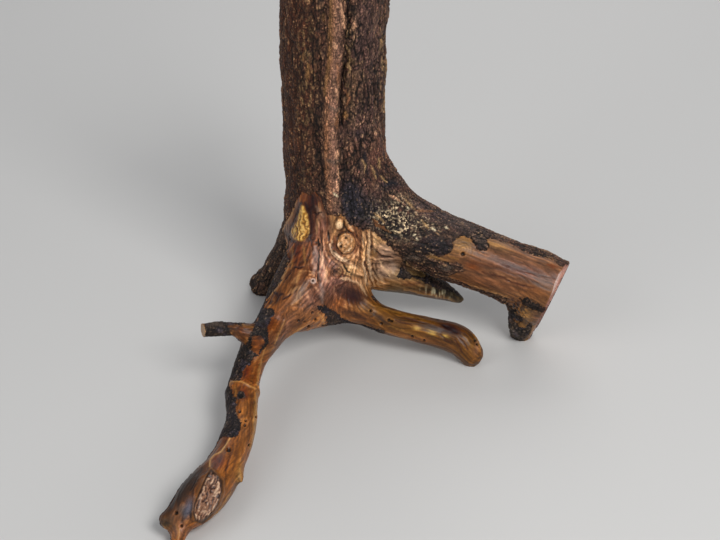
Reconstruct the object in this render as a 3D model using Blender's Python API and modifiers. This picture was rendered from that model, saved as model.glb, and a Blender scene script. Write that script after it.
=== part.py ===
"""A small tree's root crown with a length of its trunk, standing on its cut roots, as one grown solid.

Sizes are in millimetres, with the trunk's axis at x = 0, y = 0 and the ground at z = 0. -Y is the front, where
the long root reaches out. The finished mesh is in metres, with its origin at the middle of its footprint.
"""

import math

import bmesh
import bpy
import numpy as np
from mathutils import Vector, noise

MM = 0.001

# Driving dimensions
TRUNK_RADIUS = 53.0
TRUNK_TOP = 420.0
VOXEL = 2.4                 # the mesh that the skin is settled on
SETTLE_ROUNDS = (8, 5, 4, 3, 2, 1)
BARK_FURROW_PITCH = 13.0
BARK_FURROW_DEPTH = 2.6
TRIANGLES = 12600

# Each limb's centre line: x, y, z and radius. A limb starts inside the body that it grows from.
LIMBS = {
    "trunk": [
        (3, 0, TRUNK_TOP + 14, TRUNK_RADIUS + 1),
        (1, 0, 382, TRUNK_RADIUS + 0.5),
        (-1, 0, 315, TRUNK_RADIUS),
        (-1, 0, 256, TRUNK_RADIUS - 0.5),
        (0, 0, 208, TRUNK_RADIUS),
        (3, -1, 170, TRUNK_RADIUS + 1),
        (6, -4, 135, TRUNK_RADIUS + 1),
        (6, -12, 102, TRUNK_RADIUS - 6),
        (2, -20, 84, 36),
    ],
    "right_root": [
        (22, 0, 146, 36),
        (44, -8, 135, 38),
        (72, -16, 122, 35.5),
        (112, -27, 107, 34),
        (158, -40, 94, 33),
        (192, -48, 83, 33),
        (240, -60, 67, 33.4),
        (275, -70, 56, 33),
    ],
    "right_root_stub": [
        (210, -52, 76, 20),
        (209, -55, 50, 18),
        (203.5, -53, 28, 17.5),
        (203.5, -47, 8, 13.5),
    ],
    "front_left_root": [
        (-6, -24, 104, 38),
        (-20, -50, 92, 36),
        (-38, -80, 76, 32),
        (-60, -106, 64, 21.5),
        (-78, -133, 52, 16),
        (-89, -164, 43, 15.8),
        (-93, -202, 35, 16.2),
        (-92, -236, 30, 16),
        (-101, -277, 26, 17.6),
        (-115, -317, 25, 22),
        (-131, -343, 24, 20.5),
        (-141, -358, 17, 12.5),
        (-144, -375, 10, 6.6),
        (-146, -387, 6, 5),
    ],
    "tip_lobe": [
        (-137, -346, 21, 13.5),
        (-154, -359, 19, 9.5),
    ],
    "tip_belly": [
        (-119, -325, 15, 14.5),
        (-139, -344, 13, 13.6),
    ],
    "thorn": [
        (-99, -292, 28, 12),
        (-91, -306, 27, 6.5),
        (-86.6, -314, 26, 2.2),
    ],
    "left_twig": [
        (-72, -138, 66, 15),
        (-90, -147, 79, 11),
        (-106, -147, 84.5, 7.4),
        (-145, -146, 80.5, 8.2),
    ],
    "front_right_root": [
        (2, -42, 80, 28),
        (16, -55, 55.5, 23),
        (38, -62, 41, 15.8),
        (60, -70, 35.5, 14.8),
        (84, -77, 33, 15.2),
        (112, -81, 28, 16.2),
        (133, -86, 22, 17.2),
        (145, -93, 11, 14.5),
    ],
    "back_left_root": [
        (-26, 3, 140, 25),
        (-42, 11, 102, 17.5),
        (-56, 21, 66, 13.2),
        (-72, 31, 30, 12.6),
        (-84, 38, 8, 14),
    ],
    "inner_right_root": [
        (30, -12, 98, 30),
        (42, -16, 81, 31),
        (58, -20, 71, 26.5),
        (84, -22, 58.5, 17.3),
        (110, -22, 45.5, 12.7),
        (133, -22, 32.5, 6.8),
        (138, -22, 30.5, 3.5),
    ],
    "crown_skirt": [
        (-34, -76, 58, 24),
        (-8, -62, 55, 24),
        (14, -54, 53, 20),
    ],
    "back_root": [
        (2, 10, 120, 40),
        (8, 48, 86, 32),
        (14, 84, 50, 27),
        (18, 112, 22, 25),
        (20, 128, 8, 22),
    ],
}

# How widely the skin is filleted where each limb leaves the ones above it in this list.
FILLETS = {
    "right_root": 40.0,
    "right_root_stub": 22.0,
    "front_left_root": 24.0,
    "tip_lobe": 6.0,
    "tip_belly": 8.0,
    "thorn": 5.0,
    "left_twig": 17.0,
    "front_right_root": 13.0,
    "back_left_root": 16.0,
    "inner_right_root": 5.0,
    "back_root": 26.0,
    "crown_skirt": 12.0,
}

# Saw cuts: a point on the plane, the way that the removed wood lay, and how far from the point the saw reached.
CUTS = {
    "trunk_top": ((0, 0, TRUNK_TOP), (0, 0, 1), 90),
    "right_root_end": ((235.5, -58, 68), (0.892, -0.328, -0.314), 90),
    "left_twig_end": ((-134.5, -146, 80.5), (-0.93, -0.35, 0.1), 26),
    "ground": ((0, 0, 0), (0, 0, -1), 500),
}

# What stands out of the crown and the roots, or sinks into them: the two ends of its line, its reach and its height.
MOUNDS = {
    "flame_knot": ((-36, -46, 166), (-38, -50, 134), 7.5, 5.5),
    "flame_hollow": ((-22, -54, 176), (-21, -60, 134), 6, -4.5),
    "flame_hollow_tail": ((-18, -66, 126), (-16, -88, 104), 4.5, -2.2),
    "centre_ridge": ((-8, -56, 172), (-6, -66, 126), 5, 3.0),
    "nub": ((5, -62, 157), (5, -62, 154), 5, 3.0),
    "burl": ((11, -64, 133), (11, -64, 131), 8.5, 7.0),
    "burl_moat": ((24, -62, 148), (26, -62, 116), 4, -3.2),
    "right_flute_a": ((33, -62, 146), (30, -62, 92), 4.5, 3.0),
    "right_flute_b": ((46, -60, 138), (48, -56, 84), 5.5, 3.0),
    "right_flute_gap": ((39, -62, 142), (39, -58, 88), 3.5, -2.0),
    "eye": ((-22, -92, 107), (-22, -92, 104), 5, 2.4),
    "left_crest": ((-28, -92, 108), (-58, -116, 86), 8, 3.6),
    "front_hollow": ((8, -82, 84), (28, -74, 66), 9, -5.0),
    "left_valley": ((-52, -60, 116), (-66, -96, 84), 8, -3.0),
    "stub_burl_a": ((204, -76, 52), (210, -74, 44), 7, 3.0),
    "stub_burl_b": ((196, -66, 30), (194, -64, 26), 6, 2.5),
}

# The ledge all round the long root, and the branch scar near its tip: centre, axis and size.
RING = ((-91, -192, 38), (0.12, -0.975, -0.18), 3.2, 1.9)
SCAR = ((-117, -348, 40), (-0.20, -0.86, -0.47), 25.0, 13.0, 2.6)

LUMP_SIZE = 34.0            # the grown unevenness of the whole skin
LUMP_HEIGHT = 1.5


def smooth_path(stations, steps=5):
    """A Catmull-Rom curve through the stations, as an array of x, y, z and radius."""
    points = np.array(stations, float)
    ends = np.vstack([2 * points[0] - points[1], points, 2 * points[-1] - points[-2]])
    made = []
    for a, b, c, d in zip(ends[:-3], ends[1:-2], ends[2:-1], ends[3:]):
        for t in np.arange(steps) / steps:
            made.append(0.5 * (2 * b + (c - a) * t + (2 * a - 5 * b + 4 * c - d) * t ** 2
                               + (3 * b - a - 3 * c + d) * t ** 3))
    made.append(points[-1])
    return np.array(made)


PATHS = {name: smooth_path(stations) for name, stations in LIMBS.items()}


def limb_distance(points, path):
    """How far each point lies outside the limb's skin, negative inside, and the way straight out of it."""
    nearest = np.full(len(points), np.inf)
    outward = np.zeros_like(points)
    for start, end in zip(path[:-1], path[1:]):
        run = end[:3] - start[:3]
        share = np.clip((points - start[:3]) @ run / (run @ run), 0, 1)
        off = points - start[:3] - share[:, None] * run
        reach = np.linalg.norm(off, axis=1)
        distance = reach - start[3] - share * (end[3] - start[3])
        closer = distance < nearest
        nearest[closer] = distance[closer]
        outward[closer] = off[closer] / np.maximum(reach[closer], 1e-6)[:, None]
    return nearest, outward


def skin_distance(points):
    """The distance outside the whole body, whose limbs run into each other in fillets, and the way out of it."""
    body, outward = limb_distance(points, PATHS["trunk"])
    for name, fillet in FILLETS.items():
        limb, limb_outward = limb_distance(points, PATHS[name])
        nearer = limb < body
        overlap = np.maximum(fillet - np.abs(body - limb), 0) / fillet
        share = np.where(nearer, 1 - overlap / 2, overlap / 2)[:, None]
        outward = share * limb_outward + (1 - share) * outward
        body = np.minimum(body, limb) - overlap ** 2 * fillet / 4
    return body, outward / np.maximum(np.linalg.norm(outward, axis=1), 0.3)[:, None]


def rounded_ends(path):
    """The path with a dome added at each end, so that its tube is closed the way that limb_distance has it."""
    domes = []
    for end, before in ((path[0], path[1]), (path[-1], path[-2])):
        onward = (end[:3] - before[:3]) / np.linalg.norm(end[:3] - before[:3])
        domes.append([np.append(end[:3] + math.sin(turn) * end[3] * onward, math.cos(turn) * end[3])
                      for turn in (0.4, 0.8, 1.15, 1.4)])
    return np.vstack([domes[0][::-1], path, domes[1]])


def tube(name, path):
    """A limb's plain tube, as a curve object."""
    curve = bpy.data.curves.new(name, "CURVE")
    curve.dimensions = "3D"
    curve.bevel_depth = MM
    curve.bevel_resolution = 6
    curve.use_fill_caps = True
    stations = rounded_ends(path)
    spline = curve.splines.new("POLY")
    spline.points.add(len(stations) - 1)
    for point, (x, y, z, radius) in zip(spline.points, stations):
        point.co = (x * MM, y * MM, z * MM, 1)
        point.radius = radius
    made = bpy.data.objects.new(name, curve)
    bpy.context.scene.collection.objects.link(made)
    return made


def evaluated_mesh(source):
    """The object's mesh with its modifiers applied."""
    depsgraph = bpy.context.evaluated_depsgraph_get()
    return bpy.data.meshes.new_from_object(source.evaluated_get(depsgraph))


def rough_body():
    """All the limbs' tubes, remeshed as one closed skin."""
    joined = bmesh.new()
    for name, path in PATHS.items():
        limb = tube(name, path)
        mesh = evaluated_mesh(limb)
        joined.from_mesh(mesh)
        bpy.data.objects.remove(limb)
        bpy.data.meshes.remove(mesh)
    bmesh.ops.remove_doubles(joined, verts=joined.verts, dist=0.01 * MM)
    mesh = bpy.data.meshes.new("tree_root")
    joined.to_mesh(mesh)
    joined.free()
    body = bpy.data.objects.new("tree_root", mesh)
    bpy.context.scene.collection.objects.link(body)
    remesh = body.modifiers.new("skin", "REMESH")
    remesh.mode = "VOXEL"
    remesh.voxel_size = VOXEL * MM
    apply_modifiers(body)
    return body


def apply_modifiers(body):
    """Bakes the object's modifiers into its mesh."""
    old = body.data
    mesh = evaluated_mesh(body)
    body.modifiers.clear()
    body.data = mesh
    bpy.data.meshes.remove(old)


def positions(mesh):
    """The mesh's vertices in millimetres."""
    flat = np.empty(len(mesh.vertices) * 3)
    mesh.vertices.foreach_get("co", flat)
    return flat.reshape(-1, 3) / MM


def set_positions(mesh, points):
    mesh.vertices.foreach_set("co", (points * MM).ravel())
    mesh.update()


def normals(mesh):
    flat = np.empty(len(mesh.vertices) * 3)
    mesh.vertex_normals.foreach_get("vector", flat)
    return flat.reshape(-1, 3)


def relax(body, rounds):
    """Evens the mesh out with a Smooth modifier."""
    smooth = body.modifiers.new("even", "SMOOTH")
    smooth.factor = 0.5
    smooth.iterations = rounds
    apply_modifiers(body)


def settle_on_skin(body):
    """Moves the remeshed surface onto the filleted skin, a little at a time."""
    for rounds in SETTLE_ROUNDS:
        relax(body, rounds)
        points = positions(body.data)
        distance, outward = skin_distance(points)
        set_positions(body.data, points - np.clip(distance, -VOXEL, VOXEL)[:, None] * outward)


def ramp(values, start, end):
    """0 before start and 1 after end, turning smoothly between them."""
    share = np.clip((values - start) / (end - start), 0, 1)
    return share * share * (3 - 2 * share)


def trunk_relief(points):
    """The rib that runs down the trunk's front, the cleft at its right and the hollow at its left."""
    x, y, z = points.T
    around = np.arctan2(x, -y) * TRUNK_RADIUS
    on_trunk = ramp(z, 165, 200) * (np.hypot(x, y) < 1.5 * TRUNK_RADIUS) * (np.abs(around) < 120)
    rib_at = np.interp(z, [170, 230, 276, 310, 354, 420], [0, -2, -3, -1, 4, 5])
    cleft_at = rib_at + np.interp(z, [170, 270, 420], [8.5, 8.5, 8])
    rib = 4.2 * np.exp(-((around - rib_at) / 5.2) ** 4)
    cleft = -5.5 * np.exp(-((around - cleft_at - 1.5) / 3.0) ** 2) * (0.35 + 0.65 * ramp(z, 250, 275))
    hollow = -3.6 * np.exp(-((around - rib_at + 17) / 8.0) ** 2) * ramp(z, 175, 230)
    shoulder = 2.0 * np.exp(-((around - 30) / 13.0) ** 2)
    return on_trunk * (rib + cleft + hollow + shoulder)


def mound(points, start, end, reach, height):
    """A soft mound along a line, or a hollow where the height is negative."""
    start, end = np.array(start, float), np.array(end, float)
    run = end - start
    share = np.clip((points - start) @ run / (run @ run), 0, 1)
    off = np.linalg.norm(points - start - share[:, None] * run, axis=1)
    return height * np.exp(-(off / reach) ** 2)


def ring_relief(points):
    """The ledge all round the long root."""
    centre, axis, reach, height = RING
    off = points - np.array(centre, float)
    return height * np.exp(-((off @ np.array(axis)) / reach) ** 2) * (np.linalg.norm(off, axis=1) < 34)


def scar_relief(points):
    """The oval scar of a lost branch: a rim round a sunken face."""
    centre, axis, length, width, height = SCAR
    off = points - np.array(centre, float)
    run = off @ np.array(axis)
    across = np.linalg.norm(off - run[:, None] * np.array(axis), axis=1)
    oval = np.hypot(run / length, across / width)
    on_top = points[:, 2] > 16
    return height * (np.exp(-((oval - 1) / 0.17) ** 2) - 0.8 * (1 - ramp(oval, 0.7, 0.95))) * on_top


def noise_at(points, pitch_across, pitch_up):
    """Smooth noise over the body, drawn out upright where pitch_up is the longer."""
    scale = np.array([pitch_across, pitch_across, pitch_up])
    return np.array([noise.noise(Vector(point)) for point in points / scale])


def furrow_relief(points):
    """Upright bark furrows on the trunk, as long wandering grooves."""
    wander = noise_at(points, BARK_FURROW_PITCH, 4.5 * BARK_FURROW_PITCH)
    detail = noise_at(points, BARK_FURROW_PITCH / 2.1, 2 * BARK_FURROW_PITCH)
    groove = ramp(1 - 2 * np.abs(wander) - 0.35 * detail, 0.55, 1.0)
    return -BARK_FURROW_DEPTH * groove * ramp(points[:, 2], 175, 205)


def carve(body):
    """Raises and sinks the skin along its normals."""
    points = positions(body.data)
    relief = trunk_relief(points) + ring_relief(points) + scar_relief(points) + furrow_relief(points)
    relief += LUMP_HEIGHT * noise_at(points, LUMP_SIZE, LUMP_SIZE)
    for start, end, reach, height in MOUNDS.values():
        relief += mound(points, start, end, reach, height)
    set_positions(body.data, points + relief[:, None] * normals(body.data))


def thin_out(body):
    """Brings the mesh down to its triangle budget, keeping the relief."""
    triangles = sum(len(face.vertices) - 2 for face in body.data.polygons)
    decimate = body.modifiers.new("thin", "DECIMATE")
    decimate.ratio = TRIANGLES / triangles
    decimate.use_collapse_triangulate = True
    apply_modifiers(body)


def saw(body):
    """Cuts the planes of CUTS and closes each with a flat face."""
    mesh = bmesh.new()
    mesh.from_mesh(body.data)
    for point, outward, reach in CUTS.values():
        centre = Vector(point) * MM
        faces = [face for face in mesh.faces if (face.calc_center_median() - centre).length < reach * MM]
        near = set(faces)
        for face in faces:
            near.update(face.verts)
            near.update(face.edges)
        cut = bmesh.ops.bisect_plane(mesh, geom=list(near), dist=0.02 * MM, plane_co=centre,
                                     plane_no=outward, clear_outer=True)
        rim = [item for item in cut["geom_cut"] if isinstance(item, bmesh.types.BMEdge)]
        bmesh.ops.holes_fill(mesh, edges=rim, sides=0)
    bmesh.ops.remove_doubles(mesh, verts=mesh.verts, dist=0.01 * MM)
    bmesh.ops.triangulate(mesh, faces=mesh.faces)
    bmesh.ops.recalc_face_normals(mesh, faces=mesh.faces)
    mesh.to_mesh(body.data)
    mesh.free()


def stand_on_origin(body):
    """Moves the mesh so that the origin is at the middle of its footprint."""
    points = positions(body.data)
    low, high = points.min(axis=0), points.max(axis=0)
    shift = np.array([(low[0] + high[0]) / 2, (low[1] + high[1]) / 2, low[2]])
    set_positions(body.data, points - shift)


def wood_material():
    material = bpy.data.materials.new("wood")
    material.use_nodes = True
    shader = material.node_tree.nodes["Principled BSDF"]
    shader.inputs["Base Color"].default_value = (0.22, 0.10, 0.05, 1)
    shader.inputs["Roughness"].default_value = 0.5
    return material


def main():
    for old in list(bpy.data.objects):
        bpy.data.objects.remove(old)
    body = rough_body()
    settle_on_skin(body)
    carve(body)
    thin_out(body)
    saw(body)
    stand_on_origin(body)
    body.data.shade_smooth()
    body.data.set_sharp_from_angle(angle=math.radians(50))
    body.data.materials.append(wood_material())


main()
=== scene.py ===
"""The look of the tree root: fine bark and wood over the grown solid.

The solid is remeshed finely, and its skin is raised and sunk by bark plates, furrows, grain, knots and
cracks. The grain follows the way the wood grew, from the trunk down into each root and round the knots.
Where the bark is stripped, and where the main patches of colour are, is set in the photograph's own pixels,
u across and v down, and thrown onto the front of the wood. Rules in space dress what the photograph doesn't
show. Lengths are in millimetres from the trunk's axis at the ground, until the meshes are made.
"""

import math

import bpy
import numpy as np
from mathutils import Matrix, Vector
from mathutils.bvhtree import BVHTree


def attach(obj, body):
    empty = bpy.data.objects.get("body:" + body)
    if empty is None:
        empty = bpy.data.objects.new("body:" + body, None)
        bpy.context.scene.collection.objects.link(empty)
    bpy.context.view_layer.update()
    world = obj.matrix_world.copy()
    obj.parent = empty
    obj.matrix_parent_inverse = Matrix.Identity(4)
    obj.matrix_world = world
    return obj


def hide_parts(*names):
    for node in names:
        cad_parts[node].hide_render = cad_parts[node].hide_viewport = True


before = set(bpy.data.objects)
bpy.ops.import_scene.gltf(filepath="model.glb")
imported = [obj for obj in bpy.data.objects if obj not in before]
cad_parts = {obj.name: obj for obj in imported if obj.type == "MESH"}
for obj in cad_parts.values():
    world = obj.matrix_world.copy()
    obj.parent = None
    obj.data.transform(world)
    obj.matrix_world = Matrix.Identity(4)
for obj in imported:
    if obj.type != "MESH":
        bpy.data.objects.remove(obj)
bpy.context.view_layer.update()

MESH = 0.98           # the fine mesh's edge
SMOOTHINGS = 14
AXIS = np.array([43.778, -120.785, 0.0])    # from the trunk's axis to the part's origin
RANDOM = np.random.default_rng(7)

# The photograph's camera
PHOTO_WIDTH, PHOTO_HEIGHT = 720, 540
PIXEL = 1.1                             # millimetres, at the target
ELEVATION = math.radians(35)
DISTANCE = 1900.0
FOCAL = DISTANCE / PIXEL                # in pixels
TARGET = np.array([26.4, 0.0, 54.7])    # what the photograph's middle looks at
BACK = np.array([0.0, -math.cos(ELEVATION), math.sin(ELEVATION)])
UP = np.array([0.0, math.sin(ELEVATION), math.cos(ELEVATION)])
CAMERA = TARGET + BACK * DISTANCE
RAY_START = 6                           # how far out a ray starts that tests what hides a point

# The limbs' centre lines, from the crown outwards: x, y, z and radius, as in the solid's source
LIMBS = {
    "trunk": [
        (3, 0, 434, 54), (-1, 0, 315, 53), (-1, 0, 256, 52.5), (0, 0, 208, 53), (3, -1, 170, 54),
        (6, -4, 135, 54), (6, -12, 102, 47), (2, -20, 84, 36),
    ],
    "right_root": [
        (22, 0, 146, 36), (44, -8, 135, 38), (72, -16, 122, 35.5), (112, -27, 107, 34), (158, -40, 94, 33),
        (192, -48, 83, 33), (240, -60, 67, 32.6),
    ],
    "right_root_stub": [
        (210, -52, 76, 20), (209, -55, 50, 18), (203.5, -53, 28, 17.5), (203.5, -47, 8, 13.5),
    ],
    "front_left_root": [
        (-6, -24, 104, 38), (-20, -50, 92, 36), (-38, -80, 76, 32), (-60, -106, 64, 21.5),
        (-78, -133, 52, 16), (-89, -164, 43, 15.8), (-93, -202, 35, 16.2), (-92, -236, 30, 16),
        (-101, -277, 26, 17.6), (-115, -317, 25, 22), (-131, -343, 24, 20.5), (-141, -358, 17, 12.5),
        (-144, -375, 10, 6.6), (-146, -387, 6, 5),
    ],
    "left_twig": [
        (-72, -138, 66, 15), (-90, -147, 79, 11), (-106, -147, 84.5, 7.4), (-145, -146, 80.5, 8.2),
    ],
    "front_right_root": [
        (2, -42, 80, 28), (16, -55, 55.5, 23), (38, -62, 41, 15.8), (60, -70, 35.5, 14.8),
        (84, -77, 33, 15.2), (112, -81, 28, 16.2), (133, -86, 22, 17.2), (145, -93, 11, 14.5),
    ],
    "back_left_root": [
        (-26, 3, 140, 25), (-42, 11, 102, 17.5), (-56, 21, 66, 13.2), (-72, 31, 30, 12.6), (-84, 38, 8, 14),
    ],
    "inner_right_root": [
        (30, -12, 98, 30), (42, -16, 81, 31), (58, -20, 71, 26.5), (84, -22, 58.5, 17.3),
        (110, -22, 45.5, 12.7), (133, -22, 32.5, 6.8), (138, -22, 30.5, 3.5),
    ],
    "back_root": [(2, 10, 120, 40), (8, 48, 86, 32), (14, 84, 50, 27), (18, 112, 22, 25), (20, 128, 8, 22)],
    "crown_skirt": [(-34, -76, 58, 24), (-8, -62, 55, 24), (14, -54, 53, 20)],
}
# How bare each limb is where the photograph doesn't show it, and the side that is barer: above 0 is bare
BARENESS = {
    "trunk": (-8, (0, 0, 0)), "right_root": (-3, (-0.2, -3, -4)), "right_root_stub": (0, (0, 0, 0)),
    "front_left_root": (1, (4, 0, -1)), "left_twig": (0, (0, 0, 0)), "front_right_root": (5, (0, 0, 0)),
    "back_left_root": (-4, (0, 0, 0)), "inner_right_root": (3, (0, 0, -2)), "back_root": (-2.5, (0, 0, -1)),
    "crown_skirt": (4, (0, 0, 0)),
}
RIGHT_LIMBS = ("right_root", "right_root_stub", "front_right_root", "inner_right_root")
LONG_LIMBS = ("front_left_root", "left_twig")
BACK_LIMBS = ("back_left_root", "back_root")
THIN_BARK = ("front_left_root", "left_twig", "inner_right_root", "front_right_root", "crown_skirt")
DARK_BARK = THIN_BARK + ("right_root_stub",)
# The way that the bark's plates and fibres run on each limb
BARK_RUNS = {
    "trunk": (0, 0, 1), "right_root": (0.93, -0.25, -0.27), "front_left_root": (-0.35, -0.9, -0.2),
    "back_left_root": (-0.38, 0.25, -0.88), "back_root": (0.1, 0.72, -0.68), "left_twig": (1, 0, 0),
    "right_root_stub": (0, 0, 1), "front_right_root": (0.95, -0.2, -0.2),
    "inner_right_root": (0.8, -0.05, -0.6), "crown_skirt": (0.3, -0.2, 1),
}
# Flat sawn faces: a point on each, the way it faces and how far it reaches
SAWN = {
    "trunk_top": ((0, 0, 420), (0, 0, 1), 75),
    "right_root_end": ((235.5, -58, 68), (0.8906, -0.3275, -0.3135), 60),
    "left_twig_end": ((-134.5, -146, 80.5), (-0.9312, -0.3505, 0.1001), 14),
    "ground": ((0, 0, 0), (0, 0, -1), 500),
}

# Where the bark is off, as outlines in the photograph's pixels
BARE = {
    "crown": [
        (301, 192), (308, 195), (315, 193), (322, 199), (325, 212), (328, 215), (337, 216), (342, 214),
        (345, 218), (350, 225), (355, 227), (364, 231), (370, 229), (380, 238), (390, 246), (399, 254),
        (402, 260), (401, 268), (397, 277), (405, 281), (411, 277), (420, 280), (436, 288), (450, 291),
        (466, 297), (466, 308), (440, 306), (402, 296), (386, 294), (372, 296), (374, 300), (406, 309),
        (438, 319), (460, 321), (474, 329), (486, 340), (486, 360), (474, 372), (462, 366), (453, 356),
        (436, 352), (416, 346), (399, 339), (384, 335), (372, 331), (358, 327), (346, 324), (335, 324),
        (322, 326), (305, 336), (290, 342), (278, 352), (268, 366), (266, 388), (266, 420), (260, 452),
        (250, 490), (230, 520), (200, 548), (150, 548), (148, 515), (166, 486), (186, 468), (205, 452),
        (222, 436), (236, 437), (239, 432), (242, 425), (239, 418), (236, 409), (236, 400), (233, 396),
        (231, 386), (226, 387), (228, 379), (240, 381), (244, 370), (247, 365), (251, 365), (253, 358),
        (260, 355), (268, 343), (269, 335), (268, 326), (271, 317), (275, 313), (273, 309), (264, 307),
        (267, 300), (274, 290), (281, 280), (285, 270), (288, 260), (286, 251), (286, 243), (283, 237),
        (282, 229), (285, 223), (293, 208), (297, 200),
    ],
    "island": [(253, 337), (261, 335), (265, 340), (263, 346), (258, 354), (250, 350)],
    "twig_base": [
        (228, 324), (241, 324), (257, 312), (258, 318), (252, 332), (246, 345), (239, 347), (232, 337),
    ],
    "twig_end": [(196, 320), (206, 320), (203, 330), (207, 341), (196, 341)],
    "right_root": [
        (424, 254.7), (438, 256.7), (446.7, 254), (453, 250), (453, 241.7), (456.7, 237.5), (463, 235),
        (471.7, 239), (474, 245), (478, 249), (485, 250), (489, 246.7), (487.5, 239), (495, 238),
        (503, 241), (513, 244), (521.7, 249), (531.7, 254), (545, 257), (555, 260), (561, 266), (575, 262),
        (575, 300), (545, 318), (538, 330), (532, 345), (515, 345), (509, 325), (508, 312), (507, 299),
        (498, 296), (480, 290), (463, 284.5), (446.7, 277), (456.7, 273), (463, 271), (462, 265),
        (456.7, 262.5), (446.7, 262.5), (436.7, 261),
    ],
    "sliver": [(371, 217), (381, 224), (391, 233), (384, 231), (376, 227)],
    "lower_wedge": [(404, 262), (414, 270), (426, 273), (424, 277), (410, 275)],
}
# Bark or black crust that lies on the bare wood
PATCHES = {
    "notch": [
        (316, 306), (325, 306), (335, 312), (346, 321), (362, 325), (384, 331), (384, 340), (330, 340),
        (327, 325), (326, 316),
    ],
    "stub_bar": [(520, 299), (527, 298), (545, 308.5), (544, 313.5), (538, 312.5), (523, 306)],
    "stub_crust": [
        (506, 303), (511, 307), (516, 311), (516, 315), (522, 318), (519, 321), (514, 318), (513, 323),
        (506, 323),
    ],
    "stub_foot": [
        (504, 324), (514, 321), (519, 326), (525, 328), (529, 324), (533, 326), (530, 334), (527, 339),
        (519, 345), (506, 345),
    ],
    "root_crust": [(440, 275), (463, 283), (480, 289), (478, 294), (452, 286)],
    "tip_spot": [(238, 391), (243, 391), (245, 397), (240, 400), (237, 397)],
}


def smooth_path(stations, steps=3):
    """A Catmull-Rom curve through the stations, as an array of x, y, z and radius."""
    points = np.array(stations, float)
    ends = np.vstack([2 * points[0] - points[1], points, 2 * points[-1] - points[-2]])
    made = []
    for a, b, c, d in zip(ends[:-3], ends[1:-2], ends[2:-1], ends[3:]):
        for t in np.arange(steps) / steps:
            made.append(0.5 * (2 * b + (c - a) * t + (2 * a - 5 * b + 4 * c - d) * t ** 2
                               + (3 * b - a - 3 * c + d) * t ** 3))
    made.append(points[-1])
    return np.array(made)


def ramp(values, start, end):
    """0 before start and 1 after end, turning smoothly between them."""
    share = np.clip((values - start) / (end - start), 0, 1)
    return share * share * (3 - 2 * share)


def mix(a, b, share):
    """Each colour of a turned towards b by its share."""
    return a + (b - a) * share[:, None]


def rgb(text):
    """A colour as written, such as a85c2e, as linear light."""
    values = np.array([int(text[i:i + 2], 16) for i in (0, 2, 4)]) / 255
    return np.where(values <= 0.04045, values / 12.92, ((values + 0.055) / 1.055) ** 2.4)


# Noise

LATTICE_SIZE = 64                       # powers of two, after which the noise repeats
CELLS_SIZE = 32
LATTICE = RANDOM.random((LATTICE_SIZE,) * 3).astype(np.float32)
CELL_JITTER = RANDOM.random((CELLS_SIZE,) * 3 + (4,)).astype(np.float32)


def noise(points, size):
    """Smooth noise from -1 to 1, with lumps of that size, which may differ by axis."""
    at = points / np.asarray(size, float) + 100.0
    low = np.floor(at).astype(int)
    share = at - low
    share = (share * share * (3 - 2 * share)).astype(np.float32)
    i, j, k = [low[:, axis] & (LATTICE_SIZE - 1) for axis in range(3)]
    i1, j1, k1 = [(low[:, axis] + 1) & (LATTICE_SIZE - 1) for axis in range(3)]
    fx, fy, fz = share.T
    x00 = LATTICE[i, j, k] * (1 - fx) + LATTICE[i1, j, k] * fx
    x10 = LATTICE[i, j1, k] * (1 - fx) + LATTICE[i1, j1, k] * fx
    x01 = LATTICE[i, j, k1] * (1 - fx) + LATTICE[i1, j, k1] * fx
    x11 = LATTICE[i, j1, k1] * (1 - fx) + LATTICE[i1, j1, k1] * fx
    return 2 * ((x00 * (1 - fy) + x10 * fy) * (1 - fz) + (x01 * (1 - fy) + x11 * fy) * fz) - 1


def layered(points, size, layers=3):
    """Noise with finer noise on top."""
    total, weight = np.zeros(len(points)), 0.0
    for layer in range(layers):
        total += noise(points + 17.3 * layer, np.asarray(size, float) / 2 ** layer) / 1.7 ** layer
        weight += 1 / 1.7 ** layer
    return total / weight * 1.6


def cells(points):
    """Unit cells round scattered points: how far the two nearest are, and a number for the nearest."""
    low = np.floor(points).astype(int)
    first = np.full(len(points), 9.0)
    second = np.full(len(points), 9.0)
    label = np.zeros(len(points))
    for dx in (-1, 0, 1):
        for dy in (-1, 0, 1):
            for dz in (-1, 0, 1):
                cell = low + (dx, dy, dz)
                i, j, k = (cell & (CELLS_SIZE - 1)).T
                seed = CELL_JITTER[i, j, k]
                off = cell + 0.1 + 0.8 * seed[:, :3] - points
                distance = np.sqrt((off * off).sum(axis=1))
                nearer = distance < first
                second = np.where(nearer, first, np.minimum(second, distance))
                label = np.where(nearer, seed[:, 3], label)
                first = np.where(nearer, distance, first)
    return first, second, label


# The fine mesh


def fine_mesh(source):
    """The solid's skin, remeshed finely: its points, and its faces, each of four corners."""
    copy = source.copy()
    copy.data = source.data.copy()
    copy.parent = None
    bpy.context.scene.collection.objects.link(copy)
    remesh = copy.modifiers.new("fine", "REMESH")
    remesh.mode = "VOXEL"
    remesh.voxel_size = MESH / 1000
    made = copy.evaluated_get(bpy.context.evaluated_depsgraph_get()).to_mesh()
    points = np.empty(len(made.vertices) * 3)
    made.vertices.foreach_get("co", points)
    corners = np.empty(len(made.loops), int)
    made.loops.foreach_get("vertex_index", corners)
    totals = np.empty(len(made.polygons), int)
    made.polygons.foreach_get("loop_total", totals)
    assert (totals == 4).all()
    bpy.data.objects.remove(copy)
    return points.reshape(-1, 3) * 1000 + AXIS, corners.reshape(-1, 4)


def neighbours(faces):
    """Each pair of points that an edge joins."""
    edges = np.concatenate([faces[:, [0, 1]], faces[:, [1, 2]], faces[:, [2, 3]], faces[:, [3, 0]]])
    return np.unique(np.sort(edges, axis=1), axis=0)


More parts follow.
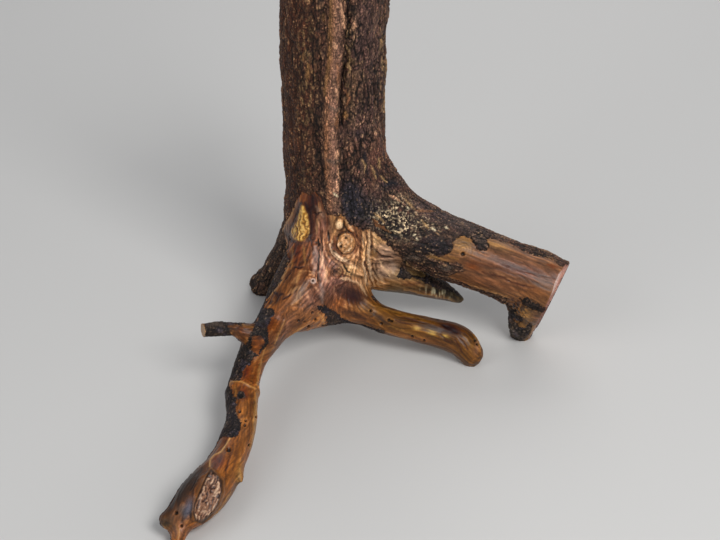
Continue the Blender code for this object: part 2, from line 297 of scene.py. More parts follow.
def averaged(values, edges, count):
    """Each point's neighbours' mean."""
    total = np.empty_like(values)
    a, b = edges.T
    for axis in range(values.shape[1]):
        total[:, axis] = np.bincount(a, values[b, axis], len(values))
        total[:, axis] += np.bincount(b, values[a, axis], len(values))
    return total / count[:, None]


def point_normals(points, faces):
    """The way that the skin faces at each point."""
    a, b, c, d = (points[faces[:, corner]] for corner in range(4))
    across = np.cross(c - a, d - b)
    total = np.empty_like(points)
    for axis in range(3):
        total[:, axis] = sum(np.bincount(faces[:, k], across[:, axis], len(points)) for k in range(4))
    return total / np.maximum(np.linalg.norm(total, axis=1), 1e-9)[:, None]


def from_saw(points):
    """How far each point is from the nearest sawn face, which stays flat."""
    nearest = np.full(len(points), 99.0)
    for centre, outward, reach in SAWN.values():
        off = points - np.array(centre, float)
        depth = np.abs(off @ np.array(outward))
        nearest = np.where(np.linalg.norm(off, axis=1) < reach, np.minimum(nearest, depth), nearest)
    return nearest


def photo_place(points):
    """Where each point is in the photograph, in pixels."""
    off = points - CAMERA
    depth = -(off @ BACK)
    return np.stack([PHOTO_WIDTH / 2 + FOCAL * off[:, 0] / depth,
                     PHOTO_HEIGHT / 2 - FOCAL * (off @ UP) / depth], axis=1)


# The way the wood grew


def limb_fields(points):
    """For each limb, the distance outside its skin and the way that it runs."""
    found = {}
    for name, stations in LIMBS.items():
        path = smooth_path(stations)
        nearest = np.full(len(points), np.inf)
        along = np.zeros_like(points)
        for start, end in zip(path[:-1], path[1:]):
            run = end[:3] - start[:3]
            share = np.clip((points - start[:3]) @ run / (run @ run), 0, 1)
            off = points - start[:3] - share[:, None] * run
            distance = np.linalg.norm(off, axis=1) - start[3] - share * (end[3] - start[3])
            closer = distance < nearest
            nearest[closer] = distance[closer]
            along[closer] = run / np.linalg.norm(run)
        found[name] = (nearest, along)
    return found


def on_limbs(limb, names):
    """Which points are on the named limbs, by each point's limb number."""
    return np.isin(limb, [list(LIMBS).index(name) for name in names])


GRID_STEP = 6.0


class FlowGrid:
    """The wood's direction on a coarse grid, quick to look up anywhere near the skin."""

    def __init__(self, low, high):
        self.low = low - 2 * GRID_STEP
        self.count = np.ceil((high - low) / GRID_STEP).astype(int) + 5
        steps = [np.arange(count) for count in self.count]
        at = np.stack(np.meshgrid(*steps, indexing="ij"), -1).reshape(-1, 3)
        fields = limb_fields(self.low + at * GRID_STEP)
        nearest = np.min([distance for distance, _ in fields.values()], axis=0)
        flow = np.zeros((len(at), 3))
        for name, (distance, along) in fields.items():
            if name != "crown_skirt":
                flow += np.exp(-(distance - nearest) / 7.0)[:, None] * along
        flow /= np.maximum(np.linalg.norm(flow, axis=1), 1e-6)[:, None]
        flow += 0.42 * np.stack([noise(at * GRID_STEP + 31 * k, 24.0) for k in range(3)], axis=1)
        self.flow = flow.reshape(*self.count, 3).astype(np.float32)

    def at(self, points):
        """The direction at each point, from the grid's corners round it."""
        place = np.clip((points - self.low) / GRID_STEP, 0, self.count - 1.001)
        low = place.astype(int)
        share = (place - low).astype(np.float32)
        total = 0
        for dx in (0, 1):
            for dy in (0, 1):
                for dz in (0, 1):
                    weight = (np.abs(1 - dx - share[:, 0]) * np.abs(1 - dy - share[:, 1])
                              * np.abs(1 - dz - share[:, 2]))
                    i, j, k = (low + (dx, dy, dz)).T
                    total = total + weight[:, None] * self.flow[i, j, k]
        return total


# Knots that the grain runs round: centre and radius
KNOTS = {
    "burl": ((11, -66, 133), 8.5),
    "nub": ((4, -63, 156), 4.0),
    "flame": ((-36, -50, 150), 9.0),
    "eye": ((-22, -94, 107), 4.0),
    "scar": ((-117, -348, 42), 15.0),
    "swirl": ((2, -76, 104), 6.0),
    "root_knot": ((137, -70, 112), 6.0),
}


def grain_direction(points, grid):
    """The way the grain runs at each point, parting round the knots."""
    flow = grid.at(points)
    for centre, radius in KNOTS.values():
        off = points - np.array(centre, float)
        reach = np.maximum(np.linalg.norm(off, axis=1), 0.5 * radius)[:, None]
        outward = off / reach
        mirrored = flow - 2 * (flow * outward).sum(axis=1)[:, None] * outward
        flow = flow + (radius / reach) ** 2 * mirrored
    return flow / np.maximum(np.linalg.norm(flow, axis=1), 1e-6)[:, None]


def streaks(points, normal, grid, width, length, steps=9):
    """Noise drawn out along the grain: streaks of that width and about that length, with a spread of 1."""
    total = noise(points, width)
    for way in (1, -1):
        at = points.copy()
        for _ in range(steps):
            direction = grain_direction(at, grid)
            direction -= (direction * normal).sum(axis=1)[:, None] * normal
            at = at + way * length / steps / 2 * direction
            total += noise(at, width)
    return (total - total.mean()) / total.std()


# The photograph's outlines, lines and spots


def inside(place, outline):
    """How far each place is inside the outline, in pixels, negative outside."""
    corners = np.array(outline, float)
    nearest = np.full(len(place), np.inf)
    crossed = np.zeros(len(place), bool)
    for a, b in zip(corners, np.roll(corners, -1, axis=0)):
        run = b - a
        share = np.clip((place - a) @ run / max(run @ run, 1e-9), 0, 1)
        off = place - a - share[:, None] * run
        nearest = np.minimum(nearest, (off * off).sum(axis=1))
        if a[1] != b[1]:
            at = a[0] + (place[:, 1] - a[1]) / (b[1] - a[1]) * (b[0] - a[0])
            crossed ^= ((a[1] > place[:, 1]) != (b[1] > place[:, 1])) & (place[:, 0] < at)
    return np.sqrt(nearest) * np.where(crossed, 1, -1)


def near_line(place, line):
    """The distance to a line through the given pixels, and the share of the way along it."""
    corners = np.array(line, float)
    lengths = np.linalg.norm(np.diff(corners, axis=0), axis=1)
    nearest = np.full(len(place), np.inf)
    along = np.zeros(len(place))
    done = 0.0
    for a, b, length in zip(corners[:-1], corners[1:], lengths):
        share = np.clip((place - a) @ (b - a) / length ** 2, 0, 1)
        distance = np.linalg.norm(place - a - share[:, None] * (b - a), axis=1)
        closer = distance < nearest
        nearest[closer] = distance[closer]
        along[closer] = (done + share[closer] * length) / lengths.sum()
        done += length
    return nearest, along


def blob(place, u, v, across, high, turn=0.0):
    """A soft spot in the photograph, 1 at its middle: its half width and half height, turned by degrees."""
    c, s = math.cos(math.radians(turn)), math.sin(math.radians(turn))
    x, y = place[:, 0] - u, place[:, 1] - v
    return np.exp(-((c * x + s * y) / across) ** 2 - ((c * y - s * x) / high) ** 2)


def spots(place, name):
    """How strongly the named spots cover each place, from 0 to 1."""
    return np.clip(sum(weight * blob(place, *spot) for weight, *spot in SPOTS[name]), 0, 1)


def fade(values, name):
    """0 to 1 between the two pixels of the named fade."""
    return ramp(values, *FADES[name])


def line_at(v, line):
    """How far across the photograph a line from top to bottom is, at each height."""
    across, down = np.array(line, float).T
    return np.interp(v, down, across)


def arc(middle, radius, start, end, tall=1.1):
    """Pixels along part of an ellipse, from one angle to another in degrees clockwise from the right."""
    u, v = middle
    return [(u + radius * math.cos(math.radians(turn)), v + tall * radius * math.sin(math.radians(turn)))
            for turn in np.linspace(start, end, 9)]


# The middles of round marks, in pixels
BURL = (346.3, 243.5)
BURL_RADIUS = 10.3
NUB = (339.3, 225)
MOAT_RADIUS = 5.4                       # of the groove round the nub
EYE = (313.5, 281)
SWIRL = (337, 272)
BURR = (463, 249)
FLAME_MIDDLE = 300
# Lines down the photograph, in pixels: the rib down the trunk's front, and the first fold at the burl's right
RIB = [(337, 0), (336, 50), (331.5, 90), (331, 120), (331.5, 160), (333.5, 200)]
RIB_HALF_WIDTH = 6.3
CLEFT_OFFSET = 10.5                     # from the rib's middle to the dark cleft at its right
FIRST_FOLD = [(360.5, 228), (362, 243), (361.3, 252), (361.3, 264), (363.5, 276), (367, 290)]
# The ledge round the long root and the pale scrape below it
LEDGE = [(228, 385), (231, 381.5), (240, 381), (247, 384), (250, 386), (256, 388.5)]
SCRAPE = [(230, 438), (226, 444), (221, 451.5), (214, 455), (210, 459), (209.5, 466)]
# Where marks fade, across or down the photograph: the pixels at which each is off and full
FADES = {
    "rib foot": (216, 206), "cleft foot": (215, 150), "smooth side": (330, 300), "smooth foot": (230, 200),
    "fold fan": (250, 292), "fold top": (226, 234), "fold foot": (292, 280), "ridge top": (233, 243),
    "flame streaks": (208, 224), "flame pits": (220, 230), "sliver top": (268, 276),
    "sliver foot": (300, 288),
}
# Soft spots by name: each one's weight, pixel, half width, half height and turn in degrees
SPOTS = {
    # in the bark
    "shaded valley": [(1, 317, 120, 5.5, 44), (0.7, 322, 185, 4, 26)],
    "violet": [(1, 372, 45, 14, 60), (1, 360, 30, 7, 30), (0.8, 362, 130, 14, 24)],
    "gold": [
        (0.8, 349, 60, 5, 55), (0.8, 382, 62, 4.5, 50), (0.8, 307, 60, 7, 45), (0.5, 304, 110, 8, 26),
        (0.5, 306, 175, 8, 16),
    ],
    "blue": [
        (1, 364, 208, 20, 17), (0.8, 350, 190, 10, 14), (0.9, 391, 185, 12, 6), (0.6, 358, 133, 10, 5),
        (0.8, 352, 205, 9, 16), (0.7, 364, 165, 5, 14), (0.7, 382, 222, 16, 9, 35),
    ],
    "red": [(1, 376, 160, 10, 26, 15), (0.5, 395, 190, 10, 8)],
    "flaky": [
        (1, 398, 212, 17, 13, 25), (0.9, 400, 228, 22, 9, 25), (0.8, 384, 222, 12, 8, 35),
        (0.6, 424, 222, 16, 8, 20),
    ],
    "upper flakes": [(1, 400, 205, 16, 9, 25), (0.8, 412, 207, 16, 6, 25)],
    "grey shoulder": [(1, 462, 226, 36, 9, 22), (1, 483, 242, 8, 8)],
    "violet shoulder": [(1, 432, 214, 18, 6, 15), (0.7, 420, 206, 12, 5)],
    "black shoulder": [(1, 436, 243, 17, 8, 12), (0.8, 442, 250, 12, 5), (0.6, 420, 250, 18, 6)],
    "brown underside": [(1, 415, 258, 22, 8, 20), (1, 448, 268, 12, 6)],
    "crust": [(1, 262, 318, 10, 14), (1, 235, 418, 7, 18, -8)],
    "stub bar": [(1, 533, 306, 15, 7, 25), (1, 514, 313, 7, 9)],
    "stub foot": [(1, 517, 331, 10, 8)],
    # in the wood
    "crown": [(1, 346, 246, 44, 36), (0.35, 320, 280, 50, 40)],
    "wavy": [(1, 370, 258, 22, 38), (0.8, 388, 268, 18, 22), (0.7, 335, 262, 18, 22)],
    "calm": [(1, 390, 257, 14, 20, -30), (1, 354, 296, 16, 9, 20), (0.5, 300, 264, 16, 24)],
    "torn fibres": [(1, 438, 293, 14, 4.5, 12)],
    "burr": [(1, 467, 246, 10, 9)],
    "stub curls": [(1, 518, 310, 14, 13)],
    "polished": [(1.3, 338, 262, 60, 50), (-0.6, 300, 262, 15, 22)],
    "pink": [(1.6, 508, 268, 52, 26)],
    "dark hollow": [(1, 354, 295, 15, 8, 18)],
    "dark side": [(1.4, 182, 487, 11, 34, 38)],
    "blue highlight": [(1, 188, 508, 3.5, 9, 15)],
}
# The spots at the right root's shoulder, in the order in which they are painted: tone and strength
SHOULDER_TONES = [
    ("grey shoulder", "453a36", 0.75), ("violet shoulder", "54403f", 0.7), ("black shoulder", "211c22", 0.85),
    ("brown underside", "33241a", 0.8),
]
# Single marks, by kind: half the width in pixels, the depth in millimetres (a ridge is below 0), the colour,
# how fully it covers what is there, and the marks' lines in pixels
WOOD_STROKES = {
    "rust stain": (1.9, 0.1, "8a4c1c", 0.65, [
        [(304, 194), (303.5, 199), (304, 205)], [(273, 318), (270, 328), (268, 336)],
        [(251, 368), (249, 376), (248, 382)], [(244, 386), (245.5, 392), (247, 398)],
        [(258, 362), (256, 374), (254, 384)], [(214, 458), (218, 463), (215, 468)],
        [(548, 264), (553, 266), (558, 267)],
    ]),
    "brown stain": (1.9, 0.2, "7a5038", 0.55, [
        [(317.4, 246), (317.2, 258), (317, 270)], [(328, 292), (328, 300), (327.5, 307)],
        [(304, 266), (303, 275), (300, 286)], [(300, 317), (296, 322), (290, 330)],
        [(253, 392), (251, 405), (251, 420), (249, 436)], [(237, 446), (236, 458), (233, 470)],
        [(209, 466), (205, 476), (199, 488)], [(190, 498), (188, 506), (187, 515)],
        [(478, 264), (490, 266), (502, 270), (514, 272)], [(492, 256), (504, 261), (518, 265)],
        [(472, 239), (475, 246), (478, 253)], [(402, 285), (412, 284.5), (420, 283)],
    ]),
    # grey sheen: pale raised streaks whose colour is a painted highlight on the varnish
    "grey sheen": (2.4, -0.4, "a8948c", 0.4, [
        [(316, 207), (319, 211), (323, 216)], [(315, 247), (315, 256), (315.5, 266), (313, 273)],
        [(391, 261), (394, 267), (393.5, 273)], [(308, 281), (303, 291), (298, 298), (292, 304)],
        [(321, 283), (322.5, 292), (323, 303)],
    ]),
    "gold ridge": (1.2, -0.4, "a07848", 0.6, [
        [(282, 231), (281.5, 235), (284, 239), (285.5, 243), (286, 249), (286, 258), (287, 265)],
        [(303, 245), (304, 253), (305, 262)], [(291.5, 247), (292, 258), (291, 268)],
        [(234.5, 386), (236, 391), (235, 397)], [(176, 524), (179, 532), (178, 540)],
        [(372, 305), (384, 308), (398, 312), (410, 316), (424, 319)],
        [(388, 326), (400, 330), (412, 334), (424, 338)], [(462, 334), (468, 340), (472, 347)],
        [(447, 255), (452, 258), (458, 259)], [(240, 322), (246, 326), (253, 327)],
    ]),
    "tan ridge": (1.1, -0.5, "bc9268", 0.65, [
        [(297, 201), (294, 206), (292, 212), (290.5, 217), (288, 220), (284, 226), (282.5, 230)],
        [(317, 219), (317, 228), (317, 234)], [(372, 234), (377, 238), (384, 242), (391, 247), (397, 251)],
        [(370, 287), (376, 285.5), (384, 284)], [(300, 271), (298, 277), (296, 283)],
        [(288.5, 266), (284, 274), (279.5, 283), (274, 290.5), (268, 298)],
        [(285, 321), (279, 334), (275, 344)], [(303, 327), (295, 333), (288, 338)],
        [(318, 313), (322, 318), (325, 325)], [(266, 346), (262, 358), (259, 372), (257, 384)],
        [(256, 392), (256.5, 410), (255, 430), (250, 450)], [(240, 468), (241, 478), (242, 484)],
        [(232, 492), (225, 503), (217, 513)], [(222, 508), (214, 516), (206, 521)],
        [(474, 334), (478, 340), (480.5, 348)], [(463, 284), (478, 288), (494, 293), (510, 298)],
        [(520, 306), (525, 310), (529, 316)], [(404, 280), (411, 277.5), (418, 280)],
        [(404, 290), (420, 293.5), (438, 297), (452, 300)],
    ]),
    # cream ridge: pale raised ridges, whose cream is partly the wood's and partly a painted highlight, as on
    # the long arc under the burl
    "cream ridge": (1.2, -0.6, "cfae8c", 0.6, [
        [(322.5, 252), (322.5, 260), (322, 268)], [(346, 220.5), (349.5, 224), (351, 228), (353, 231)],
        [(337, 257), (341, 259.5), (347, 262), (352, 264.5), (357, 268.5)],
        [(335, 261), (339, 264), (344, 269)], [(341, 279), (346, 279.3), (350, 279.3)],
        [(350, 280.5), (356, 282), (361, 286), (365, 292), (367, 296)],
        [(379, 260), (383, 267), (388, 274), (390, 277)],
    ]),
    "dark fold": (2, 0.6, "34130b", 0.8, [
        [(285, 231), (286.5, 236), (289, 239), (293, 241)], [(312, 196), (312, 205), (310, 212)],
        [(305, 203), (307, 209), (309, 213)], [(274, 292), (278, 295), (282, 294)],
        [(269, 303), (272, 301)], [(443, 325), (450, 327.5), (456, 332)],
    ]),
    "brown groove": (0.9, 0.6, "66381f", 0.75, [
        [(314, 219), (314.5, 228), (314, 236)], [(320, 219), (320.5, 226), (320, 233)],
        [(327, 218), (327, 226), (325.5, 232)], [(325.5, 250), (326, 260), (325.5, 270)],
        [(340, 232.5), (345, 233), (350, 235.5), (353.5, 240)],
        [(336, 279.5), (341, 276.5), (346, 275.8), (351, 277.5)],
        [(336, 287.5), (341, 286), (346, 283.5), (351, 282)], [(315, 289), (315.5, 296), (316.6, 303)],
        [(310, 259), (309.5, 266), (307, 275)], [(287.5, 247), (288.3, 256), (288.6, 264)],
        [(247, 366), (245, 373), (243, 379)], [(232, 452), (228, 462), (226, 474)],
        [(395, 320), (404, 323), (412, 325.5)], [(402, 316), (414, 320), (424, 323)],
        [(440, 334), (445, 339), (450, 342)], [(458, 337), (464, 343), (468, 350)],
        [(455, 340), (459, 346), (462, 353)], [(482, 272), (492, 275), (502, 278), (510, 281)],
        [(500, 264), (514, 269), (530, 273)], [(506, 280), (520, 285), (534, 288)],
        [(236, 327), (243, 331), (250, 333)],
    ]),
    "dark groove": (1, 0.9, "3a180f", 0.85, [
        [(300, 203), (298, 209), (296, 215), (293, 221), (290.5, 226), (289.5, 231), (287, 236), (290, 241)],
        [(313, 213), (317, 214.5), (321, 212)], [(310, 214), (311, 225), (310.5, 236), (312, 246)],
        [(351, 232), (353.5, 233.5), (356, 236.5), (357, 239)],
        [(376, 252), (380, 254.5), (385, 257), (390, 257.5), (393, 258.5)],
        [(392.5, 254), (397, 256.5), (401.5, 257.3)], [(294, 266.5), (298, 268), (303, 266.5)],
        [(290, 272), (286.5, 275.5), (284.5, 279)], [(283, 299), (287, 297), (291, 294)],
        [(202, 468), (197, 475), (194, 482), (190, 490)], [(192, 501), (190.5, 510), (191, 518)],
        [(512, 300), (516, 303), (513, 306), (517, 308)], [(518, 318), (522, 320), (519, 323)],
    ]),
    "crack": (1.05, 1.2, "080403", 1, [
        [(328, 231), (328.5, 236), (328.5, 240)], [(318.3, 239), (318, 246)],
        [(319.6, 244), (319, 256), (318.4, 266), (318.3, 281)],
        [(344, 222), (345, 227), (347.5, 230.5), (351, 233)], [(332, 247.5), (333.5, 251), (336, 254)],
        [(342.5, 263), (345, 267), (348, 271), (350.5, 273)],
    ]),
}
BARK_STROKES = {
    "copper edge": (1.3, -0.3, "8a5a38", 0.58, [
        [(337, 62), (337, 84)], [(336, 112), (335.5, 128)], [(326.5, 122), (327.5, 140), (326, 158)],
        [(326, 161), (327, 180)], [(346, 90), (349, 98), (347, 105)],
        [(415, 211), (424, 211.5), (434, 212)],
    ]),
    "grey patch": (2.2, -0.1, "54463c", 0.7, [
        [(330, 106), (334, 109), (337, 107)], [(329, 160.5), (334, 161.5), (338, 160)],
        [(404, 259), (410, 257), (418, 258)], [(440, 266), (446, 268), (452, 267)],
        [(403, 268), (410, 274)], [(208, 326), (214, 323.5), (221, 325)],
    ]),
    "brown oval": (2.1, -0.3, "886038", 0.75, [
        [(332, 0), (331.5, 20), (331, 40), (330, 60), (327, 80), (325, 95)], [(345.5, 112), (346, 118)],
        [(323.5, 14), (324.5, 20)], [(303, 54), (303.6, 60)], [(308.5, 64), (308.6, 72), (307, 80)],
    ]),
    "ink band": (1.5, 0.2, "15161e", 0.8, [
        [(364, 152), (364.5, 162), (367, 172), (370, 180)], [(375, 168), (377, 177)],
        [(384, 186), (390, 183), (396, 184)], [(317, 307.5), (321, 307), (326, 309.5), (333, 311)],
        [(319, 309), (323, 315), (327, 324)], [(334, 311.5), (339, 316), (345, 321), (354, 323.5)],
    ]),
    # pale raised streaks, mostly on the rib, whose pale colour is partly a painted highlight
    "rib highlight": (1.2, -0.8, "d09c78", 0.82, [
        [(340.5, 3), (341, 10), (342.5, 17), (342.8, 27)], [(334.5, 42), (336.5, 48)],
        [(335.5, 88), (337.3, 96)], [(336.5, 150), (336, 158)], [(337, 168), (338.3, 177)],
        [(336.3, 180), (336.6, 189)], [(354.5, 21), (354, 25), (353, 30)],
        [(389, 195), (394, 197), (399, 202)],
    ]),
    "gold flake": (1.1, -0.5, "b48e60", 0.75, [
        [(349.8, 60), (348.6, 64), (350, 69)], [(385.5, 55), (386, 75), (384.5, 95), (383, 112)],
        [(380.5, 40), (380, 50)], [(381, 56), (382, 70)], [(361.5, 160), (364, 164), (363.5, 172)],
        [(370, 165), (373, 171), (375, 178)], [(378, 158), (378.6, 168)], [(380, 176), (386, 182)],
        [(374, 213), (379, 217), (384, 222.5)], [(403, 199), (409, 204), (414, 210)],
        [(421, 220), (424, 224), (428, 228)], [(404, 262), (410, 266), (417, 270), (425, 273)],
    ]),
    # pale flakes, with painted highlight glints among them on the right root's shoulder
    "flake and glint": (0.95, -0.6, "d8c4a0", 0.87, [
        [(334, 192), (337.5, 196.5)], [(406, 207), (408, 209)], [(431.5, 228), (435, 230.5)],
        [(444.5, 227.5), (447.5, 228.5)], [(413, 235.5), (416, 234.5)], [(416, 238), (418, 240)],
    ]),
    "faint crack": (0.8, 0.7, "110907", 0.75, [
        [(373.5, 48), (374.5, 60), (374, 72)], [(368.5, 42), (369, 54), (370, 66)],
        [(372, 4), (371, 14), (371.5, 24)], [(379.5, 6), (379, 18), (378.5, 30)],
        [(349, 110), (349.5, 120)], [(306.8, 40), (307.3, 50), (306.8, 61)],
        [(301, 45), (302, 55), (301, 66), (302, 76)], [(293, 52), (293.5, 66)],
        [(316, 8), (317, 20), (316, 30)], [(310, 92), (311, 104)],
        [(313.5, 113), (316, 116), (317, 122), (318.5, 128)],
        [(319, 139), (320, 150), (322.5, 165), (324, 180), (325.5, 195)],
        [(340, 196), (345, 197), (350, 200)], [(352, 192), (353, 200), (357, 199)],
        [(224, 322), (227, 328), (226, 334)],
    ]),
    "crack": (0.85, 1.1, "070404", 0.92, [
        [(347, 0), (347.5, 8), (348.5, 20), (347, 28), (345.5, 34), (345, 40), (344, 50), (343, 60),
         (344, 67), (342.3, 75), (341, 85), (340.3, 96), (340, 106)],
        [(341, 109), (341.5, 117), (342.3, 124)],
        [(362, 69), (361.3, 76), (361, 82), (358, 86.5), (356, 93), (357.3, 98.5), (362, 100)],
        [(364, 88), (363.2, 95), (362.6, 105)], [(354.3, 39), (354, 46), (354.6, 53)],
        [(377, 76), (378, 88), (377, 99)], [(367.5, 88), (368, 98), (369, 108)],
        [(372.5, 106), (373, 101), (375.5, 98.5), (377.6, 102), (377.2, 109)],
        [(351, 71), (351.3, 79), (350.6, 88)], [(383.5, 28), (384, 40), (383, 52)],
        [(312.5, 38), (313, 50), (312.7, 62), (314, 73), (312.5, 85)],
        [(359, 196), (360, 190), (362.5, 185), (364.5, 182)],
        [(359, 196), (363, 198), (366, 203), (369, 206)], [(369, 206), (371, 203), (373, 201)],
        [(369, 206), (368.3, 211), (366.5, 217)], [(350.5, 200), (351.5, 210), (353.5, 219), (354, 224)],
        [(340, 207), (344, 210)], [(385, 219), (391, 224), (396, 229)],
        [(400, 258), (404, 262.5), (411, 269), (417, 274)], [(400.5, 264), (400, 272), (398.5, 279)],
    ]),
}
# Arcs round the burl and the swirl under it: middle, radius, first and last angle, and kind
for middle, radius, first_turn, last_turn, kind in [
        (BURL, 12.3, 95, 215, "brown groove"), (BURL, 14.6, 100, 190, "cream ridge"),
        (BURL, 17.0, 110, 190, "brown groove"), (BURL, 19.2, 115, 185, "tan ridge"),
        (BURL, 12.5, -50, 60, "brown groove"), (SWIRL, 6.5, -120, 60, "brown groove")]:
    WOOD_STROKES[kind][4].append(arc(middle, radius, first_turn, last_turn))
# Insect holes: pixel and radius in millimetres
HOLES = [
    (299, 321, 1.0), (316, 320, 1.1), (309, 327, 1.1), (313, 313, 1.0), (305, 322, 0.7), (371, 311, 1.1),
    (389, 320, 1.5), (391.5, 321, 1.2), (381, 324, 1.2), (412, 337, 1.1), (424, 341, 1.0), (246, 420, 1.0),
    (245.5, 424.5, 1.3), (239.5, 411, 1.2), (250, 445, 1.2), (229, 449, 2.3), (240.5, 395, 2.8),
    (463, 254, 1.9), (346, 238, 1.2), (340.6, 247, 1.4), (476, 340, 1.6), (478, 344, 1.2), (176, 513, 1.5),
    (182, 526, 1.2), (257, 417, 1.0), (313.5, 281, 1.1),
]


# The skin at each point, and its looks


def read_skin(points, faces, solid):
    """What the looks need of each point: its place, how it is seen, its limb, and how bare it is."""
    edges = neighbours(faces)
    count = np.bincount(edges.ravel(), minlength=len(points)).astype(float)

    # the remesh's steps are smoothed out, but the saw cuts stay sharp
    loose = ramp(from_saw(points), 0.3, 4.0)
    for _ in range(SMOOTHINGS):
        points = points + 0.6 * loose[:, None] * (averaged(points, edges, count) - points)
    normal = point_normals(points, faces)
    place = photo_place(points)

    # how well the photograph's camera sees it, by a ray that starts a little outside the skin
    sight = CAMERA - points
    sight /= np.linalg.norm(sight, axis=1)[:, None]
    facing = (normal * sight).sum(axis=1)
    hidden = np.array([facing[i] > -0.1
                       and solid.ray_cast(Vector(points[i] + RAY_START * sight[i]), Vector(sight[i]))[0]
                       is not None
                       for i in range(len(points))])
    seen = ramp(facing, -0.05, 0.22) * ~hidden

    # its limb, and how much each limb has of it where they join
    distances = np.array([distance for distance, _ in limb_fields(points).values()])
    wobble = np.array([noise(points + 11 * i, 14.0) for i in range(len(LIMBS))]) * 4
    limb = np.argmin(distances + wobble, axis=0)
    shares = np.exp(-(distances - distances.min(axis=0)) / 5.0)
    shares /= shares.sum(axis=0)

    # how bare it is: above 0 is wood, below 0 is bark
    bare_seen = np.max([inside(place, outline) for outline in BARE.values()], axis=0)
    for outline in PATCHES.values():
        bare_seen = np.minimum(bare_seen, -inside(place, outline))
    bare_unseen = np.zeros(len(points))
    for name, share in zip(LIMBS, shares):
        level, side = BARENESS[name]
        bare_unseen += share * (level + normal @ np.array(side, float))
    bare_unseen += 3.2 * layered(points, 42.0) + 1.5 * noise(points, 9.0)
    bare = seen * bare_seen + (1 - seen) * bare_unseen
    bare = bare + 1.2 * noise(points, 4.2) + 1.0 * noise(points, 2.1)

    # how far the bark stands out, and how near the point is to a saw cut
    crust = np.where(on_limbs(limb, ("trunk", "right_root")), 2.4, 1.4)
    thick = ramp(-bare, 0.0, 0.9) * (0.55 * crust + 0.45 * crust * ramp(-bare, 0.5, 7.0))
    sawn = from_saw(points) < 0.15
    rim = ramp(from_saw(points), 0.0, 2.5)
    return dict(points=points, normal=normal, place=place, seen=seen, limb=limb, shares=shares, bare=bare,
                thick=thick, sawn=sawn, rim=rim, edges=edges, count=count)


class Look:
    """The height and colour of some of the skin's points, built up from one mark after another."""

    def __init__(self, state, where):
        self.p = state["points"][where]
        self.place = state["place"][where]
        self.u, self.v = self.place.T
        self.front = state["seen"][where]
        self.limb = state["limb"][where]
        self.height = np.zeros(len(where))
        self.colour = np.zeros((len(where), 3))

    def tint(self, text, share):
        """Covers what is there with a colour, as fully as share says."""
        self.colour = mix(self.colour, rgb(text), share)

    def shade(self, share):
        """Makes the colour lighter or darker."""
        self.colour = self.colour * share[:, None]

    def spots(self, name):
        """How strongly the named spots cover each point, from 0 to 1, where the photograph shows it."""
        return spots(self.place, name) * self.front

    def away(self, middle, tall=1.0):
        """How far each point is from a pixel, with heights divided by tall."""
        return np.hypot(self.u - middle[0], (self.v - middle[1]) / tall)


def flat(first, second):
    """Two fields as points in a plane, to take noise at."""
    return np.stack([first, second, np.zeros(len(first))], axis=1)


def draw_strokes(kinds, look):
    """Cuts or raises each mark, and colours it."""
    for width, depth, text, strength, lines in kinds.values():
        for line in lines:
            corners = np.array(line, float)
            reach = 2.6 * width + 1.0
            near = (look.place > corners.min(axis=0) - reach) & (look.place < corners.max(axis=0) + reach)
            near = np.flatnonzero(near.all(axis=1) & (look.front > 0.05))
            if not len(near):
                continue
            p = look.p[near]
            shift = 0.7 * np.stack([noise(p, 3.0), noise(p + 40, 3.0)], axis=1)
            away, along = near_line(look.place[near] + shift, line)
            taper = 0.5 + 0.6 * np.sin(math.pi * np.clip(along, 0.06, 0.94))
            share = np.exp(-(away / (width * taper)) ** 2) * look.front[near]
            share *= 0.85 + 0.4 * noise(p + 9, 3.5)
            look.height[near] -= depth * share
            look.colour[near] = mix(look.colour[near], rgb(text), np.clip(1.25 * share, 0, 1) * strength)


def trunk_tones(look, rib, rib_at, smooth_side, threads):
    """The trunk's smooth left side, its rib, the cleft beside that, and the patches of colour."""
    look.tint("50260f", smooth_side * 0.7)
    look.shade(1 - 0.2 * smooth_side)
    look.tint("8a6350", rib * 0.85)
    look.tint("a87048", rib * ramp(rib_at - look.u, -1, 5) * 0.6)
    cleft = np.exp(-((look.u - rib_at - CLEFT_OFFSET) / 2.6) ** 2) * look.front * fade(look.v, "cleft foot")
    look.tint("3a2826", cleft * 0.6)
    # painted shade in the dark hollow down the trunk
    look.tint("261712", look.spots("shaded valley") * 0.6)
    look.tint("6b4e48", look.spots("violet") * (1 - rib) * 0.5)
    look.tint("9a7a50", look.spots("gold") * threads * 0.75)
    look.tint("2a2a34", look.spots("blue") * (1 - rib) * 0.88)
    look.tint("805040", look.spots("red") * 0.55)


def shoulder_flakes(look, warped):
    """Pale curled flakes on the dark bark at the right root's shoulder, and the tones round them."""
    flaky = look.spots("flaky")
    upper = look.spots("upper flakes")
    curl = ramp(np.abs(noise(warped + 80, 3.1)), 0.20 + 0.12 * upper, 0.08)
    curl = curl * ramp(noise(look.p + 33, 3.6), -0.4, 0.0)
    chip = np.maximum(curl, ramp(noise(look.p + 80, 1.7), 0.5, 0.7))
    look.tint("241c1c", flaky * 0.8)
    look.tint("8a5a48", flaky * upper * ramp(noise(look.p + 5, 4.5), 0.0, 0.4) * 0.7)
    look.tint("e0c49c", flaky * chip)
    look.height += 0.6 * flaky * (chip - 0.4)
    for name, text, strength in SHOULDER_TONES:
        look.tint(text, look.spots(name) * strength)


